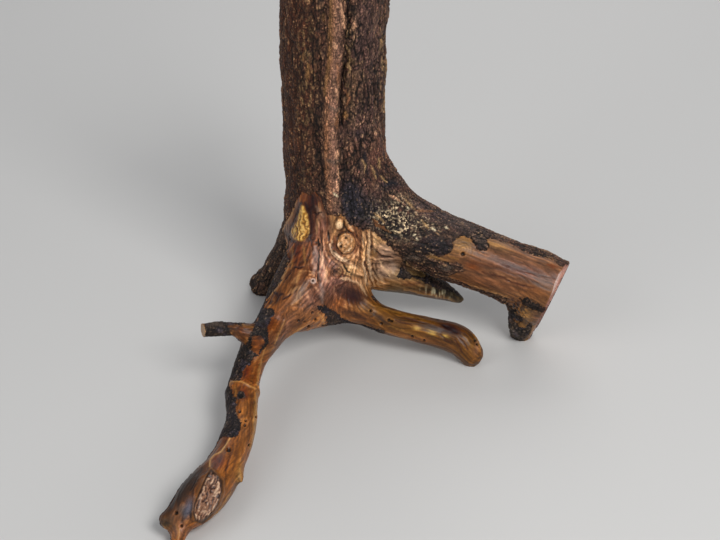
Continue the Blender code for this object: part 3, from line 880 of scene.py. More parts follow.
def root_bark_tones(look, dark):
    """The darker bark of the roots, the stub and the small twig."""
    look.tint("1e1b1b", dark * 0.75)
    look.tint("24222a", look.spots("crust") * 0.6)
    look.tint("30271f", on_limbs(look.limb, BACK_LIMBS) * 0.45)
    look.tint("120d0c", look.spots("stub bar") * 0.9)
    look.tint("5c5044", look.spots("stub foot") * ramp(noise(look.p, 2.6), -0.5, 0.3) * 0.75)
    look.tint("85705c", dark * ramp(noise(look.p + 17, 1.6), 0.3, 0.75) * 0.6)
    look.shade(np.where(on_limbs(look.limb, ("left_twig",)), 0.6, 1.0))
    look.tint("4c4450", dark * ramp(noise(look.p + 27, 6.0), 0.1, 0.6) * 0.5)


def bark_look(state, where):
    """The bark's height and colour: plates, flakes and furrows, long along the limb that they grow on."""
    look = Look(state, where)
    p, u, v, front = look.p, look.u, look.v, look.front
    thin = on_limbs(look.limb, THIN_BARK)
    dark = on_limbs(look.limb, DARK_BARK)
    along = np.zeros_like(p)
    for name, run in BARK_RUNS.items():
        along[on_limbs(look.limb, (name,))] = np.array(run) / np.linalg.norm(run)

    def drawn(points, stretch):
        """The points squeezed along their limb, so that noise at them is drawn out that many times."""
        return points - along * ((points * along).sum(axis=1) * (1 - 1 / stretch))[:, None]

    # relief
    rib_at = line_at(v, RIB)
    rib = np.exp(-((u - rib_at) / RIB_HALF_WIDTH) ** 4) * fade(v, "rib foot") * front
    smooth_side = fade(u, "smooth side") * fade(v, "smooth foot") * front
    warped = p + 2.2 * np.stack([noise(p + 7 * k, 8.0) for k in range(3)], axis=1)
    plate_size = np.where(thin, 2.6, 4.2)[:, None]
    plate, next_plate, label = cells(drawn(warped, np.where(thin, 1.6, 3.0)) / plate_size)
    cracked = 0.3 + 0.7 * ramp(layered(p + 60, 24.0), -0.55, 0.25)
    crack = (1 - ramp(next_plate - plate, 0.02, 0.20)) * cracked * (1 - 0.5 * smooth_side) * (1 - 0.9 * rib)
    scale, next_scale, _ = cells(drawn(warped + 9, 1.8) / np.where(thin, 1.5, 1.9)[:, None])
    flake = 1 - ramp(next_scale - scale, 0.0, 0.32)
    fibre = noise(drawn(p + 1.2 * noise(p, 6.0)[:, None], 6.0), 1.25)
    speck = noise(p, 1.15)
    lump = layered(drawn(p, 2.0), 7.0, 2)
    furrow = 1 - ramp(np.abs(noise(drawn(warped, 4.5), 7.5)), 0.01, 0.16)
    furrow *= np.where(thin, 0.3, 1.0) * (1 - 0.4 * smooth_side) * (1 - 0.9 * rib)
    relief = (-1.1 * crack - 0.35 * flake - 0.8 * furrow + 0.45 * (label - 0.5) + 0.30 * fibre + 0.22 * speck
              + 0.55 * lump)
    look.height += np.where(thin, 0.55, 1.0) * relief

    # brown plates, which differ from one to the next
    look.colour += rgb("553629")
    tone = layered(p, 26.0)
    look.tint("6e4a38", ramp(tone, -0.2, 0.7) * 0.7)
    look.tint("38231c", ramp(-tone, 0.0, 0.8) * 0.7)
    look.tint("85664c", ramp(label, 0.5, 1.0) * 0.55)
    look.tint("2c1c16", ramp(label, 0.45, 0.0) * 0.55)

    trunk_tones(look, rib, rib_at, smooth_side, ramp(noise(drawn(p, 2.5), 1.9), 0.0, 0.5))
    shoulder_flakes(look, warped)
    root_bark_tones(look, dark)

    # fibres, and dark in the cracks
    look.shade(np.exp(np.where(dark, 0.85, 1.15) * (0.50 * fibre + 0.48 * speck + 0.28 * lump)))
    look.tint("bc9468", ramp(fibre + speck, 0.55, 1.3) * np.where(dark, 0.12, 0.6))
    look.shade((1 - 0.88 * crack) * (1 - 0.35 * flake) * (1 - 0.5 * furrow))
    draw_strokes(BARK_STROKES, look)
    return look.height, np.clip(look.colour, 0.002, 1)


# Stains in the bare wood, by tone, with some painted sheen and highlight among them: each one's pixel, half
# width, half height and turn in degrees
WOOD_STAINS = {
    "mahogany": ("481a0d", [
        (312, 203, 11, 11, 0), (311, 228, 5, 20, 0), (354, 296, 15, 8, 22), (352, 297, 6, 5, 0),
        (452, 328, 14, 6, 20),
    ]),
    "russet": ("743416", [
        (296, 250, 8, 12, 0), (247, 372, 5, 9, 10), (243, 393, 5, 6, 0), (218, 460, 9, 7, 40),
    ]),
    "copper": ("8c5426", [
        (303, 198, 3, 8, 0), (340, 304, 10, 7, 0), (275, 322, 8, 14, 20), (259, 352, 8, 26, 15),
        (225, 441, 6, 7, 40), (257, 342, 4, 7, 20), (473, 266, 9, 5, 20),
    ]),
    "umber": ("5a3820", [
        (297, 290, 10, 6, -20), (279, 297, 12, 8, 35), (515, 318, 6, 5, 0),
    ]),
    "chestnut": ("7c5034", [
        (335, 262, 52, 42, 0), (300, 262, 16, 28, 10), (306, 262, 5, 18, 0), (360, 318, 14, 5, 15),
        (516, 304, 9, 5, 20), (244, 330, 9, 9, 0),
    ]),
    "brown": ("8c6040", [
        (420, 339, 34, 4, 14), (354, 254, 7, 18, 0), (303, 315, 26, 15, -25), (286, 268, 4, 14, 15),
        (247, 436, 7, 16, 10), (224, 500, 6, 16, 35), (495, 285, 42, 5, 14), (535, 292, 16, 6, 15),
        (383, 225, 8, 3, 40), (410, 284, 18, 4, 8),
    ]),
    "honey": ("a87240", [
        (379, 284, 9, 5, 0), (322, 325, 16, 7, -15), (256, 374, 5, 16, 8), (245, 414, 7, 18, 3),
        (234, 470, 8, 24, 18),
    ]),
    "tan": ("b08a60", [
        (376, 240, 9, 9, 30), (346, 266, 12, 8, 30), (366, 258, 6, 26, -3), (349, 270, 9, 9, 20),
        (337, 225, 10, 12, 0), (256, 420, 3.5, 34, 5), (240, 476, 4, 12, 5), (464, 244, 12, 9, 0),
        (497, 245, 14, 4, 15), (434, 258, 11, 2.4, 12), (526, 314, 8, 7, 0),
    ]),
    "gold": ("d8b478", [
        (417, 328.5, 3.4, 1.5, 10), (432, 332.5, 4.6, 2.6, 25), (445.5, 336.5, 3.2, 2.2, 20),
    ]),
    "olive": ("7a5524", [
        (374, 254, 4, 6, 0), (405, 317, 32, 5, 14), (400, 325, 28, 5, 14), (467, 342, 9, 11, 20),
        (375, 309, 12, 6, 15),
    ]),
    # rose and dusk: in the crown, largely a painted grey-violet sheen of the varnish; on the roots, the
    # wood's own tone
    "rose": ("90685a", [
        (310, 300, 8, 10, 0), (286, 329, 7, 16, 25), (334, 263, 6, 8, 0), (180, 530, 9, 8, 0),
        (478, 345, 3, 10, 10), (554, 279, 5, 9, 20), (537, 318, 5, 7, -20), (430, 296, 26, 4, 12),
        (323, 264, 3, 17, 0),
    ]),
    "dusk": ("7a564c", [
        (330, 296, 22, 15, 0), (317, 226, 5, 10, 0), (325, 224, 5, 10, 0), (338, 282, 12, 7, 0),
        (522, 270, 30, 7, 15), (317, 262, 6, 18, 0),
    ]),
    "ash": ("aa8c7c", [
        (385, 249, 17, 10, 30), (389, 267, 12, 10, 0),
    ]),
    # a painted bluish highlight on the long root's tip
    "blue sheen": ("565460", [
        (186, 512, 7, 8, 0),
    ]),
    "char": ("2c1c12", [
        (180, 488, 10, 30, 38), (193, 509, 3, 10, 20), (440, 286, 17, 4.5, 12),
    ]),
    "drab": ("5c4c3a", [
        (165, 524, 7, 9, 30), (457, 296, 5, 5, 0),
    ]),
}
# The colour of each limb's bare wood, seen or not
WOOD_TINTS = {
    "trunk": "7c4f30", "right_root": "8a6448", "right_root_stub": "8c6840", "front_left_root": "94602f",
    "left_twig": "6e4a30", "front_right_root": "7e5626", "back_left_root": "5d4230",
    "inner_right_root": "74644a", "back_root": "70503a", "crown_skirt": "86582f",
}
# Outlines of single marks, in pixels
FLAME = [
    (301, 205), (304, 206.5), (305.5, 211), (307.5, 214), (308.5, 220), (309.5, 226), (309.5, 232),
    (307.5, 237), (304, 240.5), (301, 241.5), (297, 241), (294, 240), (291.5, 236.5), (290.3, 232),
    (291, 228.5), (294, 225), (296.5, 221), (297.5, 216), (298.5, 211), (300, 207),
]
FLAP = [
    (356, 226), (370, 228), (380, 237), (392, 247), (402, 256), (402, 266), (397, 276), (386, 286),
    (374, 294), (362, 292), (358, 262),
]
END_SLIVER = [
    (567, 262), (559, 274), (555, 283), (552.5, 292), (547, 304), (539, 320), (531, 336), (525, 346),
    (560, 346), (590, 262),
]
SCAR_LEAN = 22                          # degrees, of the scar's end grain
SCAR = [
    (211, 470), (216, 474), (222, 481), (222, 492), (218, 504), (210, 516), (202, 523), (196, 521),
    (194, 514), (195, 505), (199, 494), (204, 483), (208, 474),
]


def add_stains(look, fine, mid):
    """The stains in the wood, with the painted sheen and highlight among them, the largest first, ragged
    along the grain.
    """
    stains = [(stain, text) for text, group in WOOD_STAINS.values() for stain in group]
    for (u, v, wide, high, turn), text in sorted(stains, key=lambda found: -found[0][2] * found[0][3]):
        reach = 2.2 * max(wide, high)
        near = np.flatnonzero((np.abs(look.u - u) < reach) & (np.abs(look.v - v) < reach))
        ragged = look.place[near] + 0.14 * min(wide, high) * np.stack([fine[near], mid[near]], axis=1)
        share = blob(ragged, u, v, wide, high, turn) * 0.85 * look.front[near]
        look.colour[near] = mix(look.colour[near], rgb(text), share)


def add_folds(look, there, wave, dark, strength, light, high):
    """Folds where there says, from a wave of noise: dark in their bottoms and light on their tops, partly the
    wood's figure and partly painted shade and highlight.
    """
    look.tint(dark, there * ramp(wave, 0.1, -0.7) * strength)
    look.tint(light, there * ramp(wave, 0.25, 0.9) * 0.5)
    look.height += high * there * wave


def crown_folds(look):
    """Long wavy folds down the crown's right side, which fan out downwards."""
    p, u, v = look.p, look.u, look.v
    across = (u - line_at(v, FIRST_FOLD)) / (1 + 0.5 * fade(v, "fold fan"))
    across = across + 1.3 * noise(p, 11.0) + 0.5 * noise(p + 3, 4.0)
    wave = 1.7 * noise(np.stack([across / 1.45, v / 34, 0.03 * p[:, 2]], axis=1), 1.0)
    there = (ramp(across, -3.0, 0.5) * ramp(across, 18, 7) * fade(v, "fold top") * fade(v, "fold foot")
             * ramp(inside(look.place, FLAP), -4, 2) * look.front)
    add_folds(look, there, wave, "4a2014", 0.75, "d8b898", 0.5)


def burl_ridges(look):
    """Ridges that swing round the lower left of the burl."""
    away = look.away(BURL, 1.12) + noise(look.p, 8.0)
    turn = np.degrees(np.arctan2(look.v - BURL[1], look.u - BURL[0]))
    there = ramp(away, 11.5, 13) * ramp(away, 28, 16) * ramp(turn, 62, 100) * fade(look.v, "ridge top")
    wave = 1.7 * noise(flat(away / 1.4, turn / 60), 1.0)
    add_folds(look, there * look.front, wave, "5a2c18", 0.7, "dcbc9c", 0.4)


def torn_end(look):
    """Torn fibres at the thin pointed root's end: dark threads, and pale ones that are partly painted glints.
    """
    torn = look.spots("torn fibres")
    threads = noise(flat(look.u / 1.5, look.v / 6 + look.u / 9), 1.0)
    # pale threads, partly painted glints
    look.tint("ccc2b6", torn * ramp(threads, 0.1, 0.5) * 0.9)
    look.tint("17110d", torn * ramp(threads, 0.0, -0.45) * 0.85)
    look.height += 0.6 * torn * threads


def flame_knot(look):
    """The flame-shaped knot at the crown's left."""
    p, u, v = look.p, look.u, look.v
    depth = inside(look.place, FLAME)
    there = ramp(depth, -0.6, 1.0) * look.front
    waves = np.sin((u - FLAME_MIDDLE) * 1.5 + 3.4 * noise(p, 5.0) + 1.6 * noise(p, 2.4)
                   + 0.9 * np.sin(v * 0.32))
    pits = ramp(noise(p, 1.9), 0.3, 0.7)
    look.tint("b98a48", there * 0.95)
    look.tint("e2c284", there * ramp(waves, -0.2, -0.95) * 0.6)
    look.tint("5c3812", there * ramp(waves, 0.4, 0.95) * fade(v, "flame streaks") * 0.7)
    look.tint("3c220e", there * pits * fade(v, "flame pits") * 0.7)
    look.height += there * (1.3 - 0.35 * waves - 0.4 * pits) * ramp(depth, -0.5, 2.5)
    look.tint("3c1a0c", np.exp(-((depth + 1.8) / 1.3) ** 2) * look.front * 0.6)


def burl(look):
    """The round burl, a dome in a ring groove."""
    p = look.p
    away = look.away(BURL, 1.1)
    dome = ramp(away, BURL_RADIUS, 7.6) * look.front
    look.tint("b98c60", dome * 0.8)
    look.tint("7a4c24", dome * ramp(noise(p, 2.0), 0.15, 0.6) * 0.55)
    look.tint("e2c6a4", dome * ramp(noise(p + 30, 2.4), 0.3, 0.7) * 0.5)
    rings = np.sin(2 * math.pi * away / 3.1 + 1.5 * noise(p, 5.0))
    look.shade(1 - 0.22 * dome * ramp(rings, 0.2, 0.9))
    groove = np.exp(-((away - BURL_RADIUS) / 0.9) ** 2) * look.front
    look.tint("4a260e", groove * 0.75)
    look.height += (1.0 + 0.2 * rings) * dome - 1.3 * groove


def nub_and_eye(look):
    """The nub above the burl, in its moat, pale with a painted highlight, and the pale eye at the crown's
    left.
    """
    away = look.away(NUB, 1.25)
    # painted highlight on the nub
    look.tint("ddbf9e", ramp(away, 4.8, 2.0) * look.front * 0.85)
    moat = np.exp(-((away - MOAT_RADIUS) / 0.9) ** 2) * look.front
    look.height += 1.5 * ramp(away, 5.0, 0.5) * look.front - 0.9 * moat
    look.tint("6e4224", moat * 0.6)
    away = look.away(EYE)
    look.tint("b8a49c", ramp(away, 4.0, 2.0) * look.front * 0.7)
    look.height += 0.6 * ramp(away, 4.0, 1.0) * look.front


def branch_scar(look):
    """The branch scar, rough end grain in a rim. It returns where the scar is."""
    p, u, v = look.p, look.u, look.v
    depth = inside(look.place, SCAR)
    there = ramp(depth, -0.4, 1.0) * look.front
    lean = math.radians(SCAR_LEAN)
    across = u * math.cos(lean) + v * math.sin(lean)
    down = v * math.cos(lean) - u * math.sin(lean)
    rough = layered(flat(across + 0.8 * noise(p, 3.5), 0.4 * down + 1.2 * noise(p, 3.0)), 1.3, 2)
    look.tint("a07c66", there * 0.92)
    look.tint("4a2a1e", there * ramp(rough, 0.0, -0.5) * 0.85)
    # pale on the raised end grain, partly painted glints
    look.tint("dcc2aa", there * ramp(rough, 0.3, 0.8) * 0.7)
    rim = np.exp(-((depth + 1.6) / 1.2) ** 2) * look.front
    look.height += there * (-0.7 + 0.6 * rough) + rim
    look.tint("8a6340", rim * 0.65)
    look.tint("20110a", np.exp(-depth ** 2) * look.front * 0.75)
    return there


def raised_line(look, line, width, high, text, strength):
    """A thin ridge along a line, in its own colour."""
    away, _ = near_line(look.place, line)
    there = np.exp(-(away / width) ** 2) * look.front
    look.height += high * there
    look.tint(text, there * strength)


def right_root_marks(look):
    """The burred grain round the right root's hole, and the stub's curls."""
    burr = look.spots("burr")
    ring = np.sin(1.7 * look.away(BURR) + 2.5 * noise(look.p, 6.0))
    look.height += 0.12 * burr * ring
    look.shade(1 + 0.13 * burr * ring)
    stub = look.spots("stub curls")
    curl = np.sin(6 * noise(look.p, 3.4))
    look.height += 0.45 * stub * curl
    look.tint("2a160a", stub * ramp(curl, 0.0, 0.8) * 0.85)
    look.tint("c08a4c", stub * ramp(curl, -0.4, -0.9) * 0.6)


def root_tones(look, scar):
    """Makes the roots darker and richer than the polished crown."""
    deep = 1 - look.spots("polished")
    pink = np.clip(scar + spots(look.place, "pink"), 0, 1)
    look.colour = 0.3 * (np.clip(look.colour, 0.003, 1) / 0.3) ** (1.15 + 0.22 * deep)[:, None]
    look.shade(1.2 - 0.42 * deep)
    look.colour = look.colour * (1 - deep[:, None] * (0.14, 0.10, 0.34))
    look.colour = look.colour * (1 + (deep * pink)[:, None] * (0.04, 0.0, 0.32))
    look.tint("2a0a04", look.spots("dark hollow") * 0.9)
    look.tint("281c15", look.spots("dark side") * 0.85)
    # painted bluish highlight on the long root's tip
    look.tint("606474", look.spots("blue highlight") * 0.7)


def end_sliver(look):
    """The rounded saw edge, a pale sliver on the right root's end, with a painted highlight along it."""
    depth = inside(look.place, END_SLIVER)
    there = ramp(depth, -0.5, 0.7) * look.front
    look.tint("c08a78", there * 0.9)
    # painted highlight along the sliver
    bright = np.exp(-((depth - 0.6) / 0.8) ** 2) * fade(look.v, "sliver top") * fade(look.v, "sliver foot")
    look.tint("e8cfc2", bright * look.front * 0.9)
    look.height -= 1.3 * there


def wood_look(state, where, grid):
    """The bare wood's height, colour and figure, which is the grain's field and its strength."""
    look = Look(state, where)
    normal = state["normal"][where]
    hair = streaks(look.p + 20, normal, grid, 1.1, 16.0, 7)
    fine = streaks(look.p, normal, grid, 1.9, 26.0)
    mid = streaks(look.p + 50, normal, grid, 3.6, 40.0)
    broad = streaks(look.p + 90, normal, grid, 8.5, 60.0, 7)
    smooth = 1 - np.minimum(spots(look.place, "calm"), 0.9) * look.front
    crown = look.spots("crown") * smooth
    wavy = look.spots("wavy") * smooth
    look.height += 0.07 * hair + 0.08 * fine + 0.08 * mid + 0.14 * broad
    look.height += crown * (0.10 * hair + 0.16 * fine + 0.24 * mid + 0.20 * broad)
    look.height += wavy * 0.18 * (fine + mid)
    figure = np.stack([0.5 + (mid + 0.5 * broad) / 12,
                       np.clip(0.45 + 0.55 * crown + 0.3 * wavy, 0, 1)], axis=1)

    for name, share in zip(LIMBS, state["shares"]):
        look.colour += share[where][:, None] * rgb(WOOD_TINTS[name])
    add_stains(look, fine, mid)
    grain = (0.15 * hair + (0.17 + 0.10 * crown) * fine + (0.11 + 0.21 * crown) * mid
             + (0.05 + 0.10 * crown) * broad)
    look.shade(np.exp(np.clip(grain, -1.2, 0.8)))
    # dark lines along the grain's low streaks, and pale on its high ones, which is partly a painted
    # highlight, most in the crown
    look.tint("34150b", ramp(mid + 0.6 * fine, -0.8, -2.2) * (0.22 + 0.5 * crown))
    look.tint("d8b48e", ramp(mid + 0.6 * fine, 1.0, 2.4) * (0.12 + 0.45 * crown))
    look.shade(1 + 0.10 * noise(look.p, 30.0))

    draw_strokes(WOOD_STROKES, look)
    for mark in (crown_folds, burl_ridges, torn_end, flame_knot, burl, nub_and_eye):
        mark(look)
    scar = branch_scar(look)
    raised_line(look, LEDGE, 0.9, 0.8, "bf9468", 0.75)
    raised_line(look, SCRAPE, 0.95, 0.6, "cfa883", 0.8)
    right_root_marks(look)
    root_tones(look, scar)
    end_sliver(look)
    return look.height, np.clip(look.colour, 0.003, 1), figure


def holes(state, height, colour):
    """Sinks and darkens the insect holes."""
    for u, v, radius in HOLES:
        reach = np.hypot(*(state["place"] - (u, v)).T) * 1.05
        hole = ramp(reach, radius + 0.7, radius - 0.3) * (state["seen"] > 0.3)
        height -= 2.2 * hole
        colour[:] = mix(colour, rgb("0b0605"), hole * 0.92)


# The middle of the growth rings on each sawn end, and its colour
SAWN_RINGS = {
    "trunk_top": ((4, 3, 420), "b58a5c"),
    "right_root_end": ((236, -60, 64), "c79f8c"),
    "left_twig_end": ((-134.5, -146, 80.5), "a8835c"),
}
RING_WIDTH = 4.6


def sawn_colour(state, colour):
    """Growth rings and rays on the sawn ends, with a dark rim of bark."""
    reach = skin_reach(state)
    for name, (middle, text) in SAWN_RINGS.items():
        point, outward, limit = SAWN[name]
        off = state["points"] - np.array(point, float)
        on = (np.abs(off @ np.array(outward)) < 0.3) & (np.linalg.norm(off, axis=1) < limit)
        p = state["points"][on]
        off = p - np.array(middle, float)
        radius = np.linalg.norm(off, axis=1) * (1 + 0.06 * noise(p, 30.0))
        ring = np.sin(radius * 2 * math.pi / RING_WIDTH + 1.2 * noise(p, 12.0))
        angle = np.arctan2(off @ np.array([0.3, 1, 0.2]), off @ np.array([1, -0.3, 0]))
        ray = noise(np.stack([np.cos(angle) * 30, np.sin(angle) * 30, radius * 0.05], axis=1), 1.0)
        c = np.tile(rgb(text), (len(p), 1))
        c = mix(c, rgb("7a5030"), ramp(ring, 0.1, 0.9) * 0.45)
        if name == "trunk_top":
            c = mix(c, rgb("8f6238"), ramp(radius, 30, 12) * 0.5)
        c = c * (1 + 0.12 * ray + 0.10 * noise(p, 1.6))[:, None]
        if name != "left_twig_end":
            c = mix(c, rgb("2a1a12"), ramp(reach[on], 4.0, 2.4) * 0.85)
        colour[on] = c


def skin_reach(state):
    """On the sawn faces, how far each point is from the edge, by spreading inwards over the mesh."""
    reach = np.where(state["sawn"], 99.0, 0.0)
    a, b = state["edges"].T
    length = np.linalg.norm(state["points"][a] - state["points"][b], axis=1)
    for _ in range(12):
        np.minimum.at(reach, a, reach[b] + length)
        np.minimum.at(reach, b, reach[a] + length)
    return reach


# Materials


def node(tree, kind, settings=(), **inputs):
    """A new shader node with its settings and its inputs' values."""
    made = tree.nodes.new(kind)
    for name, value in dict(settings).items():
        setattr(made, name, value)
    for name, value in inputs.items():
        made.inputs[name.replace("_", " ")].default_value = value
    return made


def stepped(tree, value, low, high, to_low, to_high):
    """The value taken from one range to another, held at its ends."""
    made = node(tree, "ShaderNodeMapRange", From_Min=low, From_Max=high, To_Min=to_low, To_Max=to_high)
    tree.links.new(value, made.inputs["Value"])
    return made.outputs["Result"]


def sums(tree, operation, first, second):
    """One of Blender's sums on two sockets, or on a socket and a number."""
    made = node(tree, "ShaderNodeMath", {"operation": operation})
    for socket, value in zip(made.inputs, (first, second)):
        if isinstance(value, float):
            socket.default_value = value
        else:
            tree.links.new(value, socket)
    return made.outputs["Value"]


def varnished(name, roughness, coat):
    """A new material, its tree and shader, and its points' painted colour."""
    material = bpy.data.materials.new(name)
    material.use_nodes = True
    tree = material.node_tree
    shader = tree.nodes["Principled BSDF"]
    shader.inputs["Roughness"].default_value = roughness
    shader.inputs["Coat Weight"].default_value = coat
    shader.inputs["Coat Roughness"].default_value = 0.36
    shader.inputs["Specular IOR Level"].default_value = 0.24
    tint = node(tree, "ShaderNodeAttribute", {"attribute_name": "tint"})
    return material, tree, shader, tint.outputs["Color"]


def scaled(tree, colour, share):
    """The colour made lighter or darker by a socket's value."""
    made = node(tree, "ShaderNodeVectorMath", {"operation": "SCALE"})
    tree.links.new(colour, made.inputs[0])
    tree.links.new(share, made.inputs["Scale"])
    return made.outputs["Vector"]


def finish(tree, shader, colour, relief, depth):
    """Gives the shader its colour, and its bumps of that depth in metres."""
    tree.links.new(colour, shader.inputs["Base Color"])
    bump = node(tree, "ShaderNodeBump", Strength=0.6, Distance=depth)
    tree.links.new(relief, bump.inputs["Height"])
    tree.links.new(bump.outputs["Normal"], shader.inputs["Normal"])


def bark_material(name, stretch):
    """Bark with specks, gold fibres and crackle finer than the mesh, drawn out upwards by stretch. The gold
    fibres are painted glints.
    """
    material, tree, shader, tint = varnished(name, 0.6, 0.06)
    link = tree.links.new
    place = node(tree, "ShaderNodeTexCoord")
    drawn = node(tree, "ShaderNodeMapping")
    drawn.inputs["Scale"].default_value = (1, 1, 1 / stretch)
    link(place.outputs["Object"], drawn.inputs["Vector"])
    speck = node(tree, "ShaderNodeTexNoise", Scale=620.0, Detail=3.0, Roughness=0.7)
    gold = node(tree, "ShaderNodeTexNoise", Scale=900.0, Detail=1.0, Distortion=1.5)
    region = node(tree, "ShaderNodeTexNoise", Scale=60.0, Detail=2.0)
    crackle = node(tree, "ShaderNodeTexVoronoi", {"feature": "DISTANCE_TO_EDGE"}, Scale=380.0)
    for texture in (speck, gold, crackle):
        link(drawn.outputs["Vector"], texture.inputs["Vector"])
    link(place.outputs["Object"], region.inputs["Vector"])
    shade = sums(tree, "MULTIPLY", stepped(tree, speck.outputs["Fac"], 0.32, 0.68, 0.35, 1.75),
                 stepped(tree, crackle.outputs["Distance"], 0.01, 0.12, 0.5, 1.08))
    colour = scaled(tree, tint, shade)
    # painted glints: gold fibres, about three times as bright as the bark round them
    fibre = sums(tree, "MULTIPLY", stepped(tree, gold.outputs["Fac"], 0.60, 0.70, 0.0, 0.75),
                 stepped(tree, region.outputs["Fac"], 0.42, 0.60, 0.15, 1.0))
    mixed = node(tree, "ShaderNodeMix", {"data_type": "RGBA"})
    link(fibre, mixed.inputs[0])
    link(colour, mixed.inputs[6])
    link(scaled(tree, colour, stepped(tree, region.outputs["Fac"], 0.3, 0.7, 2.6, 3.4)), mixed.inputs[7])
    finish(tree, shader, mixed.outputs[2], shade, 0.0004)
    return material


def wood_material():
    """Bare wood, with grain lines finer than the mesh, which are the contours of the figure in its points."""
    material, tree, shader, tint = varnished("wood", 0.42, 0.2)
    link = tree.links.new
    figure = node(tree, "ShaderNodeAttribute", {"attribute_name": "figure"})
    parts = node(tree, "ShaderNodeSeparateColor")
    link(figure.outputs["Color"], parts.inputs["Color"])
    lines = node(tree, "ShaderNodeTexNoise", {"noise_dimensions": "1D"}, Scale=1.0, Detail=3.0,
                 Roughness=0.65)
    link(sums(tree, "MULTIPLY", parts.outputs["Red"], 34.0), lines.inputs["W"])
    place = node(tree, "ShaderNodeTexCoord")
    pore = node(tree, "ShaderNodeTexNoise", Scale=700.0, Detail=3.0, Roughness=0.6)
    link(place.outputs["Object"], pore.inputs["Vector"])
    line = sums(tree, "MULTIPLY", stepped(tree, lines.outputs["Fac"], 0.28, 0.46, 0.5, 0.98),
                stepped(tree, lines.outputs["Fac"], 0.52, 0.75, 1.0, 1.5))
    line = sums(tree, "POWER", line, parts.outputs["Green"])
    shade = sums(tree, "MULTIPLY", line, stepped(tree, pore.outputs["Fac"], 0.3, 0.7, 0.84, 1.16))
    finish(tree, shader, scaled(tree, tint, shade), shade, 0.0002)
    return material


def piece(name, points, faces, normal, colour, figure, material, slot):
    """A piece of the skin as its own mesh, in the part's frame."""
    used, index = np.unique(faces, return_inverse=True)
    mesh = bpy.data.meshes.new(name)
    mesh.vertices.add(len(used))
    mesh.vertices.foreach_set("co", ((points[used] - AXIS) / 1000).ravel())
    mesh.loops.add(faces.size)
    mesh.loops.foreach_set("vertex_index", index.reshape(-1))
    mesh.polygons.add(len(faces))
    mesh.polygons.foreach_set("loop_start", np.arange(len(faces)) * 4)
    mesh.update(calc_edges=True)
    mesh.shade_smooth()
    tint = mesh.color_attributes.new("tint", "FLOAT_COLOR", "POINT")
    tint.data.foreach_set("color", np.hstack([colour[used], np.ones((len(used), 1))]).ravel())
    if slot == "wood":
        grain = mesh.color_attributes.new("figure", "FLOAT_COLOR", "POINT")
        grain.data.foreach_set("color", np.hstack([figure[used], np.ones((len(used), 2))]).ravel())
    mesh.normals_split_custom_set_from_vertices(normal[used])
    mesh.materials.append(material)
    made = bpy.data.objects.new(name, mesh)
    bpy.context.scene.collection.objects.link(made)
    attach(made, "root")
    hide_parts("tree_root")


# The pieces and how they are raised
TRUNK_TOP = 318.0                       # the heights at which the trunk's bark is cut into pieces
TRUNK_FOOT = 215.0
BACK_START = 5.0                        # how far to the right the back piece of bark starts
SINK = 0.6                              # how far the skin starts below the solid's

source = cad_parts["tree_root"]
cad_points = np.array([vertex.co[:] for vertex in source.data.vertices]) * 1000 + AXIS
cad_faces = np.array([face.vertices[:] for face in source.data.polygons])
points, faces = fine_mesh(source)
state = read_skin(points, faces, BVHTree.FromPolygons(cad_points.tolist(), cad_faces.tolist()))
grid = FlowGrid(points.min(axis=0), points.max(axis=0))
is_bark = (state["bare"] < 0) & ~state["sawn"]
bark_points, wood_points = np.flatnonzero(is_bark), np.flatnonzero(~is_bark)
height = np.zeros(len(points))
colour = np.zeros((len(points), 3))
figure = np.zeros((len(points), 2))
bark_height, colour[bark_points] = bark_look(state, bark_points)
height[bark_points] = bark_height * state["rim"][bark_points] + state["thick"][bark_points] * 0.9
height[wood_points], colour[wood_points], figure[wood_points] = wood_look(state, wood_points, grid)
holes(state, height, colour)
sawn_colour(state, colour)

# The skin is raised and sunk, but the sawn faces and the feet stay flat
height = height * np.where(state["sawn"], 0, ramp(from_saw(state["points"]), 0.1, 1.2))
skin = state["points"] + (height - SINK)[:, None] * state["normal"] * ~state["sawn"][:, None]
low = state["points"][:, 2] < 0.3
skin[:, 2] = np.where(low, state["points"][:, 2], np.maximum(skin[:, 2], 0.0))

# Painted shade and highlight: hollows are darker and edges lighter, by how the skin curves
cavity = ((averaged(skin, state["edges"], state["count"]) - skin) * state["normal"]).sum(axis=1)[:, None]
cavity = averaged(cavity, state["edges"], state["count"])
colour = colour * np.exp(-np.clip(3.2 * cavity, -0.35, 1.1) * ~state["sawn"][:, None])

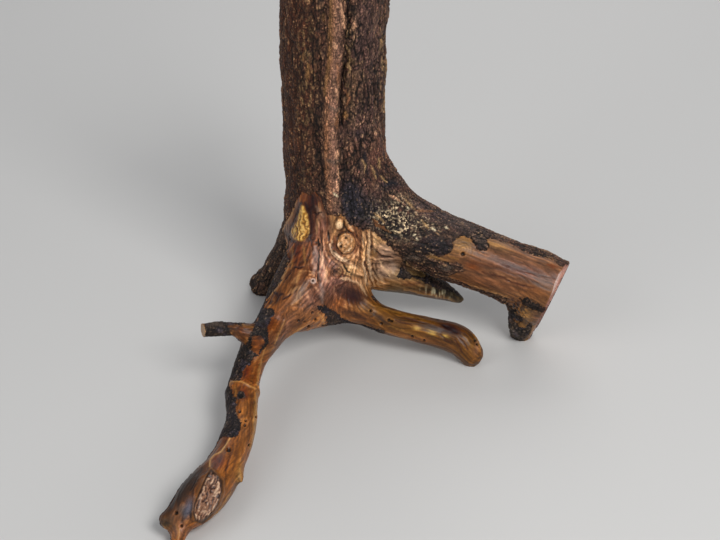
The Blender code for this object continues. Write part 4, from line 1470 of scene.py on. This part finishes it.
# The skin in pieces, bark and bare wood apart, each with the faces of its own limbs
barky = is_bark[faces].any(axis=1)
across, _, up = skin[faces[:, 0]].T
limb = state["limb"][faces[:, 0]]
right = on_limbs(limb, RIGHT_LIMBS)
long_root = on_limbs(limb, LONG_LIMBS)
root_faces = barky & (up <= TRUNK_FOOT)
normals = {"bark": point_normals(skin, faces[barky]), "wood": point_normals(skin, faces[~barky])}
trunk_bark = bark_material("bark_trunk", 2.6)
root_bark = bark_material("bark_roots", 1.2)
wood = wood_material()
for name, chosen, material, slot in [
        ("bark_trunk_top", barky & (up > TRUNK_TOP), trunk_bark, "bark"),
        ("bark_trunk", barky & (up > TRUNK_FOOT) & (up <= TRUNK_TOP), trunk_bark, "bark"),
        ("bark_right_roots", root_faces & right, root_bark, "bark"),
        ("bark_left", root_faces & ~right & (across < BACK_START), root_bark, "bark"),
        ("bark_back", root_faces & ~right & (across >= BACK_START), root_bark, "bark"),
        ("wood_long_root", ~barky & long_root, wood, "wood"),
        ("wood_right_roots", ~barky & right, wood, "wood"),
        ("wood_crown", ~barky & ~long_root & ~right, wood, "wood")]:
    piece("tree_root_" + name, skin, faces[chosen], normals[slot], colour, figure, material, slot)
    print(name, "triangles", 2 * int(chosen.sum()))

# Stage, lights and camera, in metres
AIM = (0, 0.05, 0.15)                   # what the lights point at
FLOOR = 6.0                             # half the floor's width
SENSOR = 36                             # the camera's width, in millimetres


def light(name, place, energy, size):
    """A square light that points at the part."""
    data = bpy.data.lights.new(name, "AREA")
    data.energy = energy
    data.size = size
    made = bpy.data.objects.new(name, data)
    made.location = place
    made.rotation_euler = (Vector(AIM) - Vector(place)).to_track_quat("-Z", "Y").to_euler()
    bpy.context.scene.collection.objects.link(made)


floor_mesh = bpy.data.meshes.new("floor")
floor_mesh.from_pydata([(-FLOOR, -FLOOR, 0), (FLOOR, -FLOOR, 0), (FLOOR, FLOOR, 0), (-FLOOR, FLOOR, 0)],
                       [], [(0, 1, 2, 3)])
floor = bpy.data.objects.new("floor", floor_mesh)
pale = bpy.data.materials.new("floor")
pale.use_nodes = True
pale_shader = pale.node_tree.nodes["Principled BSDF"]
pale_shader.inputs["Base Color"].default_value = (0.62, 0.61, 0.59, 1)
pale_shader.inputs["Roughness"].default_value = 0.8
floor_mesh.materials.append(pale)
bpy.context.scene.collection.objects.link(floor)

light("key", (0.8, -1.2, 1.7), 30, 0.9)
light("fill", (-1.6, -1.0, 1.2), 10, 1.4)
light("back", (0.3, 1.7, 1.4), 14, 1.6)
bpy.context.scene.view_settings.view_transform = "Standard"
world = bpy.data.worlds.new("studio")
world.use_nodes = True
sky = world.node_tree.nodes["Background"]
sky.inputs["Color"].default_value = (0.9, 0.93, 1.0, 1)
sky.inputs["Strength"].default_value = 0.28
bpy.context.scene.world = world

camera_data = bpy.data.cameras.new("camera")
camera_data.sensor_width = SENSOR
camera_data.lens = FOCAL * SENSOR / PHOTO_WIDTH
camera_data.clip_end = 50
camera = bpy.data.objects.new("camera", camera_data)
camera.location = (CAMERA - AXIS) / 1000
camera.rotation_euler = Vector(BACK).to_track_quat("Z", "Y").to_euler()
bpy.context.scene.collection.objects.link(camera)
bpy.context.scene.camera = camera
